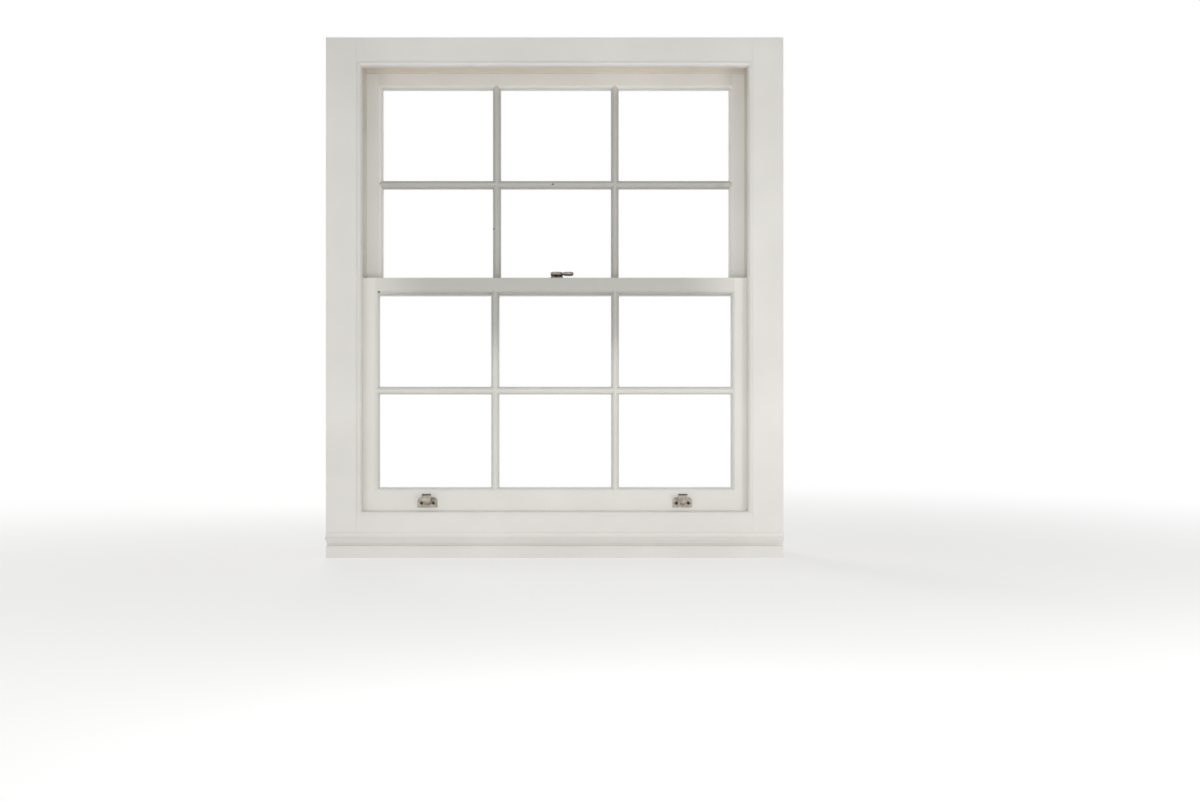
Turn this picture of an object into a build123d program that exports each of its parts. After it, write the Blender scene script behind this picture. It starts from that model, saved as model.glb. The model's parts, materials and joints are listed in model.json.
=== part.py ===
from build123d import *
import math
import os

# A double-hung box sash window: two sliding sashes of six panes each in a cased frame, hung on cords
# over axle pulleys and balanced by iron weights in hollow jambs.
# Millimetres. X runs along the sill, -Y faces the room, +Y faces outdoors, +Z is up.
# The origin is on the sill's underside, midway between the jambs and in the plane between the sashes.

# Panes and sash members, as their faces show from the room
pane_width = 287.0
pane_height = 238.0
pane_columns = 3
pane_rows = 2
bar_width = 20.0
stile_width = 50.0
top_rail_height = 50.0
meeting_rail_height = 40.0
bottom_rail_height = 92.0
sash_thickness = 44.0

# Ovolo moulding on the room side, and the glazing rebate on the outer side
mould_width = 8.0
mould_depth = 14.0
mould_quirk = 1.2
rebate_width = 6.0
glass_line = 26.0
glass_thickness = 4.0
glass_edge_gap = 1.0
putty_toe = 0.5
putty_lip = 0.6
putty_set_back = 0.8

# Joints between sash members
tenon_length = 28.0
tenon_margin = 10.0
bar_tenon_length = 12.0
bar_tenon_width = 7.0

# Splayed meeting rails
meeting_splay = 8.0
meeting_gap = 1.5
meeting_notch_clearance = 2.0

# Running clearances of a sash in its channel, and where it seats
sash_side_clearance = 1.5
sash_face_clearance = 1.5
seat_gap = 0.3
sash_travel = 480.0

# Sill
sill_height = 84.0
sill_slope_deg = 8.0
sill_step = 8.0
sill_projection = 40.0
sill_nose_radius = 5.0
drip_radius = 4.0
drip_set_back = 16.0
sill_housing_depth = 34.0
trim_groove_low = 30.0
trim_groove_height = 8.0
trim_groove_depth = 10.0

# Box frame
parting_bead_thickness = 8.0
parting_bead_projection = 13.0
parting_groove_depth = 8.0
pulley_stile_thickness = 20.0
lining_thickness = 20.0
outer_lining_projection = 12.0
back_lining_thickness = 8.0
head_thickness = 25.0
head_housing_depth = 8.0
lining_upstand = 36.0
arris_radius = 1.5
parting_slip_thickness = 6.0
parting_slip_side_gap = 3.0
parting_slip_lift = 60.0

# Staff bead and cover mould
staff_projection = 12.0
staff_proud = 3.0
staff_nose_radius = 9.0
bottom_bead_height = 34.0
cover_mould_height = 18.0
cover_mould_projection = 12.0
cover_mould_fillet = 4.0
cover_mould_drop = 20.0

# Pocket in each pulley stile, through which the weights are reached
pocket_length = 370.0
pocket_sill_distance = 66.0
pocket_edge_margin = 5.0
pocket_bevel = 8.0
pocket_fit = 0.3

# Cords, pulleys and weights
cord_diameter = 6.0
cord_stile_gap = 3.0
cord_groove_width = 13.0
cord_groove_depth = 12.0
knot_radius = 6.0
knot_hole_radius = 8.0
knot_hole_depth = 16.0
knot_face_gap = 1.5
lower_knot_drop = 200.0
upper_knot_drop = 270.0
knot_lead = 26.0
knot_bend_radius = 45.0
cord_ring_radius = 9.5
pulley_drop = 93.0
wheel_cord_gap = 0.3
wheel_flange = 3.0
wheel_width = 11.0
wheel_mouth_flare = 0.8
wheel_recess_depth = 2.0
wheel_hub_radius = 9.0
axle_radius = 4.0
axle_running_gap = 0.06
axle_fit = 0.02
case_plate_length = 124.0
case_plate_width = 28.0
case_plate_thickness = 3.0
case_cheek_thickness = 3.0
case_cheek_radius = 16.0
case_cheek_gap = 1.0
case_slot_margin = 3.0
case_fit = 0.3
case_screw_spacing = 100.0
weight_diameter = 42.0
weight_clearance = 4.0
weight_pulley_gap = 60.0
lower_weight_length = 494.0
upper_weight_length = 454.0
weight_end_radius = 4.0
weight_eye_radius = 6.5
weight_lug_width = 24.0
weight_lug_thickness = 10.0
weight_lug_rise = 14.0

# Wood screws
screw_head_radius = 4.0
screw_length = 16.0
screw_shank_radius = 1.8
screw_slot_width = 1.0
screw_slot_depth = 0.9
screw_slot_turn_deg = 35.0

# Rotating fastener on the meeting rails, rounded lever to the right when it is undone
fastener_x = 3.0
fastener_pivot_y = 33.5
base_plate_width = 34.0
base_plate_depth = 32.0
base_plate_thickness = 3.0
base_corner_radius = 6.0
base_screw_spacing = 24.0
base_screw_set_back = 10.0
boss_radius = 12.0
boss_height = 4.0
lever_gap = 0.3
lever_hub_radius = 10.0
lever_hub_height = 5.0
lever_heel_reach = 16.5
lever_heel_width = 15.0
lever_arm_width = 10.0
lever_arm_tip_width = 8.0
lever_arm_height = 4.0
lever_reach = 38.5
lever_ball_radius = 5.5
pivot_radius = 3.0
pivot_running_gap = 0.06
pivot_head_radius = 5.5
pivot_head_height = 1.8
pivot_head_round = 1.6
claw_thickness = 3.0
claw_inner_radius = 22.0
claw_outer_radius = 31.0
claw_sweep_deg = 40.0
keeper_width = 30.0
keeper_depth = 22.0
keeper_plate_thickness = 3.0
keeper_edge_gap = 1.5
keeper_corner_radius = 4.0
keeper_wall_thickness = 3.0
keeper_lip_thickness = 3.0
keeper_lip_depth = 8.0
keeper_claw_gap = 1.0
keeper_screw_spacing = 18.0
keeper_screw_edge = 4.5

# Hook lifts on the bottom rail
lift_spacing = 650.0
lift_plate_width = 50.0
lift_plate_height = 26.0
lift_plate_thickness = 2.5
lift_corner_radius = 10.0
lift_plate_above_sash = 42.0
lift_screw_spacing = 30.0
lift_screw_rise = 11.0
hook_width = 23.0
hook_root_width = 13.0
hook_flare_height = 13.0
hook_thickness = 3.0
hook_root_rise = 9.0
hook_bend_radius = 8.0
hook_run = 18.0
hook_height = 30.0
hook_lip_roll = 3.0

# Across the depth of the frame
channel_face = parting_bead_thickness / 2
sash_near = channel_face + sash_face_clearance
sash_far = sash_near + sash_thickness
box_face = sash_far + sash_face_clearance
lining_face = box_face + lining_thickness
channel_middle = (sash_near + sash_far) / 2
lower_room_y = -sash_far
upper_room_y = sash_near
sill_nose_y = lining_face + sill_projection
fastener_y = lower_room_y + fastener_pivot_y

# Across the width
glass_half = (pane_columns * pane_width + (pane_columns - 1) * bar_width) / 2
sash_half = glass_half + stile_width
stile_face = sash_half + sash_side_clearance
stile_back = stile_face + pulley_stile_thickness
weight_radius = weight_diameter / 2
weight_x = stile_back + weight_clearance + weight_radius
box_back = weight_x + weight_radius + weight_clearance
frame_half = box_back + back_lining_thickness
cord_x = stile_face - cord_stile_gap
wheel_pitch = (weight_x - cord_x) / 2
wheel_x = (weight_x + cord_x) / 2
wheel_flange_radius = wheel_pitch + wheel_flange
knot_x = sash_half - knot_face_gap - knot_radius
bead_edge = stile_face - parting_bead_projection
staff_edge = stile_face - staff_projection
shoulder = glass_half + mould_width
outer_edge = stile_face - outer_lining_projection
splay_end = bead_edge - meeting_notch_clearance

# Up the height
glass_height = pane_rows * pane_height + (pane_rows - 1) * bar_width
slope = math.tan(math.radians(sill_slope_deg))
lower_low = sill_height + seat_gap
lower_sight = lower_low + bottom_rail_height
lower_high = lower_sight + glass_height + meeting_rail_height
upper_low = lower_high - meeting_rail_height
upper_high = lower_high + glass_height + top_rail_height
soffit = upper_high + seat_gap
head_top = soffit + head_thickness
frame_top = head_top + lining_upstand
housing_floor = sill_height - sill_housing_depth
bead_foot = sill_height - (box_face + channel_face) * slope
wheel_z = soffit - pulley_drop
lower_eye_z = wheel_z - weight_pulley_gap - weight_lug_width / 2
upper_eye_z = lower_eye_z - sash_travel
lower_knot_z = lower_high - lower_knot_drop
upper_knot_z = upper_high - upper_knot_drop

keeper_near_y = (meeting_splay + meeting_gap) / 2 + keeper_edge_gap

# How far a cutting shape runs past what it cuts
past = 1.0


def polygon(points):
    """A flat face with straight sides through the points."""
    return make_face(Polyline(points, close=True))


def along_x(section, low, high):
    """Extrude a section whose first coordinate is Z and whose second is Y, from X = low to X = high."""
    plane = Plane(origin=(high, 0, 0), x_dir=(0, 0, 1), z_dir=(-1, 0, 0))
    return extrude(plane * section, amount=high - low)


def along_y(section, low, high):
    """Extrude a section whose first coordinate is X and whose second is Z, from Y = low to Y = high."""
    plane = Plane(origin=(0, high, 0), x_dir=(1, 0, 0), z_dir=(0, -1, 0))
    return extrude(plane * section, amount=high - low)


def along_z(section, low, high):
    """Extrude a section drawn in X and Y, from Z = low to Z = high."""
    return extrude(Pos(0, 0, low) * section, amount=high - low)


def block(x, y, z):
    """A box between the pairs of limits x, y and z."""
    middle = Pos((x[0] + x[1]) / 2, (y[0] + y[1]) / 2, (z[0] + z[1]) / 2)
    return middle * Box(abs(x[1] - x[0]), abs(y[1] - y[0]), abs(z[1] - z[0]))


def rod(radius, start, end):
    """A round bar between two points."""
    axis = Vector(*end) - Vector(*start)
    return extrude(Plane(origin=start, z_dir=axis) * Circle(radius), amount=axis.length)


def left_of(part):
    """The mirror image of a right-hand piece, on the left."""
    return mirror(part, about=Plane.YZ)


def group(solids):
    """Several separate solids kept together in one node."""
    return Compound([solid for part in solids for solid in part.solids()])


def single(part):
    """The one solid of a finished piece."""
    return part.solids().sort_by(SortBy.VOLUME)[-1]


# Sash members

def member_section(sight, outward, width, room_y):
    """The section of a stile or rail: ovolo at the sight line on the room side, glazing rebate outdoors.

    sight is where the member's daylight edge stands, outward is +1 or -1 away from the glass.
    """
    def at(across, depth):
        return (sight + outward * across, room_y + depth)

    run = mould_width - mould_quirk
    fall = mould_depth - mould_quirk
    bulge = math.cos(math.pi / 4)
    ovolo = ThreePointArc(
        at(mould_width, mould_quirk),
        at(mould_width - run * bulge, mould_depth - fall * bulge),
        at(mould_quirk, mould_depth),
    )
    rest = Polyline(
        at(mould_quirk, mould_depth),
        at(0, mould_depth),
        at(0, glass_line),
        at(rebate_width, glass_line),
        at(rebate_width, sash_thickness),
        at(width, sash_thickness),
        at(width, 0),
        at(mould_width, 0),
        at(mould_width, mould_quirk),
    )
    return make_face(Wire([ovolo, *rest.edges()]))


def bar_section(middle, room_y):
    """The section of a glazing bar: an ovolo on each side of a narrow face, a tongue between the rebates."""
    half = bar_width / 2
    return Sketch() + [member_section(middle + side * half, -side, half, room_y) for side in (-1, 1)]


def square_section(sight, outward, width, room_y):
    """The section of a rail that has the glazing rebate and no moulding."""
    return polygon([
        (sight, room_y),
        (sight, room_y + glass_line),
        (sight + outward * rebate_width, room_y + glass_line),
        (sight + outward * rebate_width, room_y + sash_thickness),
        (sight + outward * width, room_y + sash_thickness),
        (sight + outward * width, room_y),
    ])


def make_sash(name, room_y, low, low_rail, high_rail, low_section=member_section):
    """The wooden members, panes and putty of one sash, as named pieces, before its special cuts."""
    sight_low = low + low_rail
    sight_high = sight_low + glass_height
    high = sight_high + high_rail
    tenon_y = (room_y + mould_depth, room_y + glass_line)

    stile = along_z(member_section(glass_half, 1, stile_width, room_y), low, high)
    low_raw = along_x(low_section(sight_low, -1, low_rail, room_y), -shoulder, shoulder)
    high_raw = along_x(member_section(sight_high, 1, high_rail, room_y), -shoulder, shoulder)
    stiles = {1: stile, -1: left_of(stile)}
    low_raw = low_raw - stiles[1] - stiles[-1]
    high_raw = high_raw - stiles[1] - stiles[-1]

    tenon_ends = (glass_half - past, shoulder + tenon_length)
    low_tenon = block(tenon_ends, tenon_y, (low + tenon_margin, sight_low - tenon_margin))
    high_tenon = block(tenon_ends, tenon_y, (sight_high + tenon_margin, high - tenon_margin))
    stile_cut = stile - low_tenon - high_tenon
    low_rail_part = low_raw + low_tenon + left_of(low_tenon)
    high_rail_part = high_raw + high_tenon + left_of(high_tenon)

    uprights = []
    pitch = pane_width + bar_width
    for column in range(1, pane_columns):
        middle = -glass_half + column * pitch - bar_width / 2
        bar = along_z(bar_section(middle, room_y), sight_low - mould_width, sight_high + mould_width)
        bar = bar - low_raw - high_raw
        tongue_x = (middle - bar_tenon_width / 2, middle + bar_tenon_width / 2)
        low_tongue = block(tongue_x, tenon_y, (sight_low - bar_tenon_length, sight_low + past))
        high_tongue = block(tongue_x, tenon_y, (sight_high - past, sight_high + bar_tenon_length))
        low_rail_part = low_rail_part - low_tongue
        high_rail_part = high_rail_part - high_tongue
        uprights.append(single(bar + low_tongue + high_tongue))

    cross_bars = []
    for row in range(1, pane_rows):
        middle_z = sight_low + row * (pane_height + bar_width) - bar_width / 2
        whole = along_x(bar_section(middle_z, room_y), -shoulder, shoulder)
        for upright in [*uprights, stiles[1], stiles[-1]]:
            whole = whole - upright
        cross_bars += whole.solids()

    panes, putties = [], []
    pane_grow = rebate_width - glass_edge_gap
    for column in range(pane_columns):
        for row in range(pane_rows):
            middle_x = -glass_half + column * pitch + pane_width / 2
            middle_z = sight_low + row * (pane_height + bar_width) + pane_height / 2
            panes.append(make_pane(middle_x, middle_z, room_y + glass_line, pane_grow))
            putties.append(make_putty(middle_x, middle_z, room_y))

    return {
        f"{name}_stile_right": stile_cut,
        f"{name}_stile_left": left_of(stile_cut),
        f"{name}_low_rail": low_rail_part,
        f"{name}_high_rail": high_rail_part,
        f"{name}_upright_bars": uprights,
        f"{name}_cross_bars": cross_bars,
        f"{name}_panes": panes,
        f"{name}_putty": putties,
    }


def make_pane(middle_x, middle_z, face_y, grow):
    """One sheet of glass, let into the rebate by grow on every side."""
    half_x = pane_width / 2 + grow
    half_z = pane_height / 2 + grow
    return block(
        (middle_x - half_x, middle_x + half_x),
        (face_y, face_y + glass_thickness),
        (middle_z - half_z, middle_z + half_z),
    )


def make_putty(middle_x, middle_z, room_y):
    """The bevelled fillet of putty round one pane, from the glass out to the rebate's edge."""
    inner_y = room_y + glass_line + glass_thickness
    outer_y = room_y + sash_thickness - putty_set_back
    toe = Rectangle(pane_width + 2 * putty_toe, pane_height + 2 * putty_toe)
    lip_grow = 2 * (rebate_width - putty_lip)
    lip = Rectangle(pane_width + lip_grow, pane_height + lip_grow)
    inner = Plane(origin=(middle_x, inner_y, middle_z), x_dir=(1, 0, 0), z_dir=(0, -1, 0))
    outer = Plane(origin=(middle_x, outer_y, middle_z), x_dir=(1, 0, 0), z_dir=(0, -1, 0))
    hollow = loft([inner * toe, outer * lip])
    half_x = pane_width / 2 + rebate_width
    half_z = pane_height / 2 + rebate_width
    bed = block(
        (middle_x - half_x, middle_x + half_x),
        (inner_y, outer_y),
        (middle_z - half_z, middle_z + half_z),
    )
    return bed - hollow


def cord_groove(room_y, knot_z, high):
    """The groove and knot hole in the outer edge of the right-hand stile, for the sash cord."""
    middle_y = room_y + sash_thickness / 2
    groove = block(
        (sash_half - cord_groove_depth, sash_half + past),
        (middle_y - cord_groove_width / 2, middle_y + cord_groove_width / 2),
        (knot_z, high + past),
    )
    hole = rod(
        knot_hole_radius,
        (sash_half - knot_hole_depth, middle_y, knot_z),
        (sash_half + past, middle_y, knot_z),
    )
    return groove + hole


def meeting_line(z, side):
    """The Y of a meeting rail's splayed face at height z: side is -1 on the lower rail, +1 on the upper."""
    middle = (upper_low + lower_high) / 2
    return (z - middle) * meeting_splay / meeting_rail_height + side * meeting_gap / 2


# Frame pieces

def make_sill():
    """The sill: flat under the bottom bead, sloped under the lower sash, stepped and sloped to a nose.

    Its room face has a groove for a tongued trim, and its ends are housed for the jambs.
    """
    def fall(y):
        return sill_height - (y + box_face) * slope

    step_y = channel_face
    section = polygon([
        (0, -lining_face),
        (sill_height, -lining_face),
        (sill_height, -box_face),
        (fall(step_y), step_y),
        (fall(step_y) - sill_step, step_y),
        (fall(sill_nose_y) - sill_step, sill_nose_y),
        (0, sill_nose_y),
    ])
    sill = along_x(section, -frame_half, frame_half)
    nose = sill.edges().filter_by(Axis.X).group_by(Axis.Y)[-1].sort_by(Axis.Z)[-1]
    sill = fillet(nose, sill_nose_radius)
    drip_y = sill_nose_y - drip_set_back
    sill = sill - rod(drip_radius, (-frame_half - past, drip_y, 0), (frame_half + past, drip_y, 0))
    sill = sill - block(
        (-frame_half - past, frame_half + past),
        (-lining_face - past, -lining_face + trim_groove_depth),
        (trim_groove_low, trim_groove_low + trim_groove_height),
    )
    housing = block(
        (stile_face, frame_half + past),
        (-lining_face - past, lining_face),
        (housing_floor, sill_height + past),
    )
    return sill - housing - left_of(housing)


def sill_bevel():
    """All the space below the lower sash's seat, parallel to the sill's slope."""
    seat = sill_height + seat_gap
    fall = (box_face - channel_face) * slope
    return along_x(
        polygon([
            (seat, -box_face),
            (seat - fall, -channel_face),
            (0, -channel_face),
            (0, -box_face),
        ]),
        -frame_half,
        frame_half,
    )


def staff_section(edge, outward, width):
    """The section of a staff bead: rounded nose at its free edge, proud of the linings by a small step."""
    def at(across, y):
        return (edge + outward * across, y)

    nose_y = -lining_face - staff_proud
    bulge = staff_nose_radius * (1 - math.cos(math.pi / 4))
    nose = ThreePointArc(
        at(0, nose_y + staff_nose_radius),
        at(bulge, nose_y + bulge),
        at(staff_nose_radius, nose_y),
    )
    rest = Polyline(
        at(staff_nose_radius, nose_y),
        at(staff_nose_radius, -lining_face),
        at(width, -lining_face),
        at(width, -box_face),
        at(0, -box_face),
        at(0, nose_y + staff_nose_radius),
    )
    return make_face(Wire([nose, *rest.edges()]))


def make_staff_beads():
    """The four staff beads that hold the lower sash in, mitred at the corners."""
    deep = (-lining_face - staff_proud - past, -box_face + past)
    bottom_edge = sill_height + bottom_bead_height
    head_edge = soffit - staff_projection
    reach = staff_projection + past
    side = along_z(staff_section(staff_edge, 1, staff_projection), sill_height, soffit)
    below_mitre = polygon([
        (staff_edge - past, bottom_edge + past),
        (staff_edge + reach, bottom_edge - reach),
        (staff_edge + reach, sill_height - past),
        (staff_edge - past, sill_height - past),
    ])
    above_mitre = polygon([
        (staff_edge - past, head_edge - past),
        (staff_edge + reach, head_edge + reach),
        (staff_edge - past, head_edge + reach),
    ])
    side = side - along_y(below_mitre, *deep) - along_y(above_mitre, *deep)
    bottom = along_x(staff_section(bottom_edge, -1, bottom_bead_height), -stile_face, stile_face)
    bottom_corner = along_y(
        polygon([
            (staff_edge - past, bottom_edge + past),
            (staff_edge + reach, bottom_edge - reach),
            (staff_edge + reach, bottom_edge + past),
        ]),
        *deep,
    )
    head = along_x(staff_section(head_edge, 1, staff_projection), -stile_face, stile_face)
    head_corner = along_y(
        polygon([
            (staff_edge - past, head_edge - past),
            (staff_edge + reach, head_edge + reach),
            (staff_edge + reach, head_edge - past),
        ]),
        *deep,
    )
    return {
        "staff_bead_right": side,
        "staff_bead_left": left_of(side),
        "staff_bead_bottom": bottom - bottom_corner - left_of(bottom_corner),
        "staff_bead_head": head - head_corner - left_of(head_corner),
    }


def make_cover_mould():
    """The small cove mould planted on the sill's room face."""
    top = sill_height - cover_mould_drop
    low = top - cover_mould_height
    back = -lining_face
    front = back - cover_mould_projection
    upper = (top, back - cover_mould_fillet)
    lower = (low + cover_mould_fillet, front)
    middle = (
        lower[0] + (upper[0] - lower[0]) * (1 - math.cos(math.pi / 4)),
        upper[1] + (lower[1] - upper[1]) * (1 - math.cos(math.pi / 4)),
    )
    cove = ThreePointArc(upper, middle, lower)
    rest = Polyline(lower, (low, front), (low, back), (top, back), upper)
    return along_x(make_face(Wire([cove, *rest.edges()])), -frame_half, frame_half)


def pocket_block(channel_y, grow):
    """The space of the pocket in the right-hand pulley stile, its ends bevelled, larger all round by grow."""
    low = sill_height + pocket_sill_distance
    high = low + pocket_length
    outline = polygon([
        (stile_face - past, low - grow),
        (stile_face, low - grow),
        (stile_back, low + pocket_bevel - grow),
        (stile_back + past, low + pocket_bevel - grow),
        (stile_back + past, high - pocket_bevel + grow),
        (stile_back, high - pocket_bevel + grow),
        (stile_face, high + grow),
        (stile_face - past, high + grow),
    ])
    half = sash_thickness / 2 - pocket_edge_margin + grow
    return along_y(outline, channel_y - half, channel_y + half)


def make_pulley_case(channel_y):
    """A pulley's case on the right: a plate let into the stile, with two cheeks behind it for the axle."""
    face = Plane(origin=(stile_face, channel_y, wheel_z), x_dir=(0, 0, 1), z_dir=(1, 0, 0))
    plate = extrude(face * SlotOverall(case_plate_length, case_plate_width), amount=case_plate_thickness)
    slot_half = wheel_flange_radius + case_slot_margin
    cheek_in = wheel_width / 2 + case_cheek_gap
    slot = block(
        (stile_face - past, stile_face + case_plate_thickness + past),
        (channel_y - cheek_in, channel_y + cheek_in),
        (wheel_z - slot_half, wheel_z + slot_half),
    )
    case = plate - slot
    for side in (-1, 1):
        near = channel_y + side * cheek_in
        far = near + side * case_cheek_thickness
        strap = block(
            (stile_face + case_plate_thickness - past, wheel_x),
            (near, far),
            (wheel_z - case_cheek_radius, wheel_z + case_cheek_radius),
        )
        round_end = rod(case_cheek_radius, (wheel_x, near, wheel_z), (wheel_x, far, wheel_z))
        case = case + strap + round_end
    hole_reach = cheek_in + case_cheek_thickness + past
    hole_start = (wheel_x, channel_y - hole_reach, wheel_z)
    case = case - rod(axle_radius + axle_fit, hole_start, (wheel_x, channel_y + hole_reach, wheel_z))
    for spot in case_screw_spots(channel_y):
        case = case - screw_tool(spot, case_fit)
    return case


def case_screw_spots(channel_y):
    """Where the two screws of one pulley's case sit, heads to the right-hand channel."""
    return [
        Plane(origin=(stile_face, channel_y, wheel_z + side * case_screw_spacing / 2), z_dir=(1, 0, 0))
        for side in (-1, 1)
    ]


def screw_tool(seat, grow):
    """A countersunk screw pointing along the seat plane's normal, its head's face in that plane."""
    head = Cone(
        screw_head_radius + grow,
        screw_shank_radius + grow,
        screw_head_radius - screw_shank_radius,
        align=(Align.CENTER, Align.CENTER, Align.MIN),
    )
    shank = Cylinder(
        screw_shank_radius + grow,
        screw_length,
        align=(Align.CENTER, Align.CENTER, Align.MIN),
    )
    return seat * (head + shank)


def make_screw(seat):
    """One slotted countersunk screw."""
    slot = Pos(0, 0, screw_slot_depth / 2) * Box(3 * screw_head_radius, screw_slot_width, screw_slot_depth)
    return screw_tool(seat, 0) - seat * Rot(0, 0, screw_slot_turn_deg) * slot


def make_wheel(channel_y):
    """One grooved pulley wheel on the right, bored for its axle."""
    half = wheel_width / 2
    groove = cord_diameter / 2 + wheel_cord_gap
    mouth = groove + wheel_mouth_flare
    bottom = ThreePointArc((wheel_pitch, groove), (wheel_pitch - groove, 0), (wheel_pitch, -groove))
    bore = axle_radius + axle_running_gap
    web = half - wheel_recess_depth
    rim = wheel_pitch - groove - wheel_recess_depth
    rest = Polyline(
        (wheel_pitch, -groove),
        (wheel_flange_radius, -mouth),
        (wheel_flange_radius, -half),
        (rim, -half),
        (rim, -web),
        (wheel_hub_radius, -web),
        (wheel_hub_radius, -half),
        (bore, -half),
        (bore, half),
        (wheel_hub_radius, half),
        (wheel_hub_radius, web),
        (rim, web),
        (rim, half),
        (wheel_flange_radius, half),
        (wheel_flange_radius, mouth),
        (wheel_pitch, groove),
    )
    section = make_face(Wire([bottom, *rest.edges()]))
    wheel = revolve(section, axis=Axis.Y)
    return Pos(wheel_x, channel_y, wheel_z) * wheel


def make_weight(channel_y, eye_z, length):
    """One cast weight on the right, with the eye its cord is tied through."""
    body_top = eye_z - weight_lug_rise
    body = Pos(0, 0, body_top - length / 2) * Cylinder(weight_radius, length)
    body = fillet(body.edges().filter_by(GeomType.CIRCLE), weight_end_radius)
    half = weight_lug_thickness / 2
    lug = block(
        (-weight_lug_width / 2, weight_lug_width / 2),
        (-half, half),
        (body_top - past, eye_z),
    )
    lug = lug + rod(weight_lug_width / 2, (0, -half, eye_z), (0, half, eye_z))
    eye = rod(weight_eye_radius, (0, -half - past, eye_z), (0, half + past, eye_z))
    return Pos(weight_x, channel_y, 0) * (body + lug - eye)


def make_cord(channel_y, knot_z, eye_z):
    """One sash cord on the right: up from its knot in the sash, over the wheel and down to its weight."""
    ring_z = eye_z + weight_eye_radius + (weight_lug_width / 2 - weight_eye_radius) / 2
    ring_top = ring_z + cord_ring_radius
    lead = FilletPolyline(
        (knot_x, channel_y, knot_z),
        (cord_x, channel_y, knot_z + knot_lead),
        (cord_x, channel_y, wheel_z),
        radius=knot_bend_radius,
    )
    over = ThreePointArc(
        (cord_x, channel_y, wheel_z),
        (wheel_x, channel_y, wheel_z + wheel_pitch),
        (weight_x, channel_y, wheel_z),
    )
    down = Line((weight_x, channel_y, wheel_z), (weight_x, channel_y, ring_top))
    path = Wire([*lead.edges(), over, down])
    start = Plane(origin=path @ 0, z_dir=path % 0)
    run = sweep(start * Circle(cord_diameter / 2), path=path)
    ring_plane = Plane(origin=(weight_x, channel_y, ring_z), z_dir=(1, 0, 0))
    ring = ring_plane * Torus(cord_ring_radius, cord_diameter / 2)
    knot = Pos(knot_x, channel_y, knot_z) * Sphere(knot_radius)
    length = path.length + 2 * math.pi * cord_ring_radius
    print("cord length", round(length), "bends", knot_bend_radius, wheel_pitch)
    return run + ring + knot


# Fastener and lifts

def make_fastener():
    """The rotating fastener's base with its rivet, its lever, and the keeper it hooks under."""
    seat = Pos(fastener_x, fastener_y, lower_high)
    plate = RectangleRounded(base_plate_width, base_plate_depth, base_corner_radius)
    low = base_plate_thickness + boss_height
    hub_low = low + lever_gap
    hub_high = hub_low + lever_hub_height
    head_low = hub_high + lever_gap
    base = extrude(plate, amount=base_plate_thickness)
    base = base + rod(boss_radius, (0, 0, base_plate_thickness), (0, 0, low))
    base = base + rod(pivot_radius, (0, 0, 0), (0, 0, head_low))
    head = rod(pivot_head_radius, (0, 0, head_low), (0, 0, head_low + pivot_head_height))
    head = fillet(head.edges().group_by(Axis.Z)[-1], pivot_head_round)
    base = base + head

    hub = rod(lever_hub_radius, (0, 0, hub_low), (0, 0, hub_high))
    arm_mid = hub_low + lever_hub_height / 2
    arm = extrude(
        Pos(0, 0, arm_mid - lever_arm_height / 2) * polygon([
            (0, -lever_arm_width / 2),
            (lever_reach, -lever_arm_tip_width / 2),
            (lever_reach, lever_arm_tip_width / 2),
            (0, lever_arm_width / 2),
        ]),
        amount=lever_arm_height,
    )
    heel_end = lever_heel_reach - lever_heel_width / 2
    heel = block((-heel_end, 0), (-lever_heel_width / 2, lever_heel_width / 2), (hub_low, hub_high))
    heel = heel + rod(lever_heel_width / 2, (-heel_end, 0, hub_low), (-heel_end, 0, hub_high))
    ball = Pos(lever_reach, 0, arm_mid) * Sphere(lever_ball_radius)
    claw = make_claw(hub_low)
    bore = rod(pivot_radius + pivot_running_gap, (0, 0, hub_low - past), (0, 0, hub_high + past))
    lever = hub + heel + arm + ball + claw - bore
    base = seat * base
    for spot in base_screw_spots():
        base = base - screw_tool(spot, case_fit)
    return {"fastener_base": base, "fastener_lever": seat * lever, "fastener_keeper": make_keeper(hub_low)}


def make_claw(low):
    """The hooked claw of the lever, pointing to the room when undone, with its tip trailing to the right."""
    band_middle = (claw_inner_radius + claw_outer_radius) / 2
    band_half = (claw_outer_radius - claw_inner_radius) / 2
    half = claw_sweep_deg / 2
    arc = CenterArc((0, 0), band_middle, -90 - half, claw_sweep_deg)
    band = sweep(
        Plane(origin=arc @ 0, z_dir=arc % 0, x_dir=(0, 0, 1)) * Rectangle(claw_thickness, 2 * band_half),
        path=arc,
    )
    neck = block((-band_half, band_half), (-band_middle, 0), (-claw_thickness / 2, claw_thickness / 2))
    return Pos(0, 0, low + claw_thickness / 2) * (band + neck)


def make_keeper(claw_low):
    """The keeper on the upper sash's meeting rail: a plate with a lip that the claw turns in under."""
    plate_y = keeper_near_y
    plate = block(
        (-keeper_width / 2, keeper_width / 2),
        (plate_y, plate_y + keeper_depth),
        (0, keeper_plate_thickness),
    )
    lip_low = claw_low + claw_thickness + keeper_claw_gap
    lip_high = lip_low + keeper_lip_thickness
    claw_tip = fastener_y + claw_outer_radius
    wall_y = claw_tip + keeper_claw_gap
    wall = block(
        (-keeper_width / 2, keeper_width / 2),
        (wall_y, wall_y + keeper_wall_thickness),
        (0, lip_high),
    )
    lip = block(
        (-keeper_width / 2, keeper_width / 2),
        (wall_y - keeper_lip_depth, wall_y + keeper_wall_thickness),
        (lip_low, lip_high),
    )
    keeper = plate + wall + lip
    upright = keeper.edges().filter_by(Axis.Z).group_by(Axis.Y)[-1]
    keeper = Pos(fastener_x, 0, lower_high) * fillet(upright, keeper_corner_radius)
    for spot in keeper_screw_spots():
        keeper = keeper - screw_tool(spot, case_fit)
    return keeper


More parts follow.
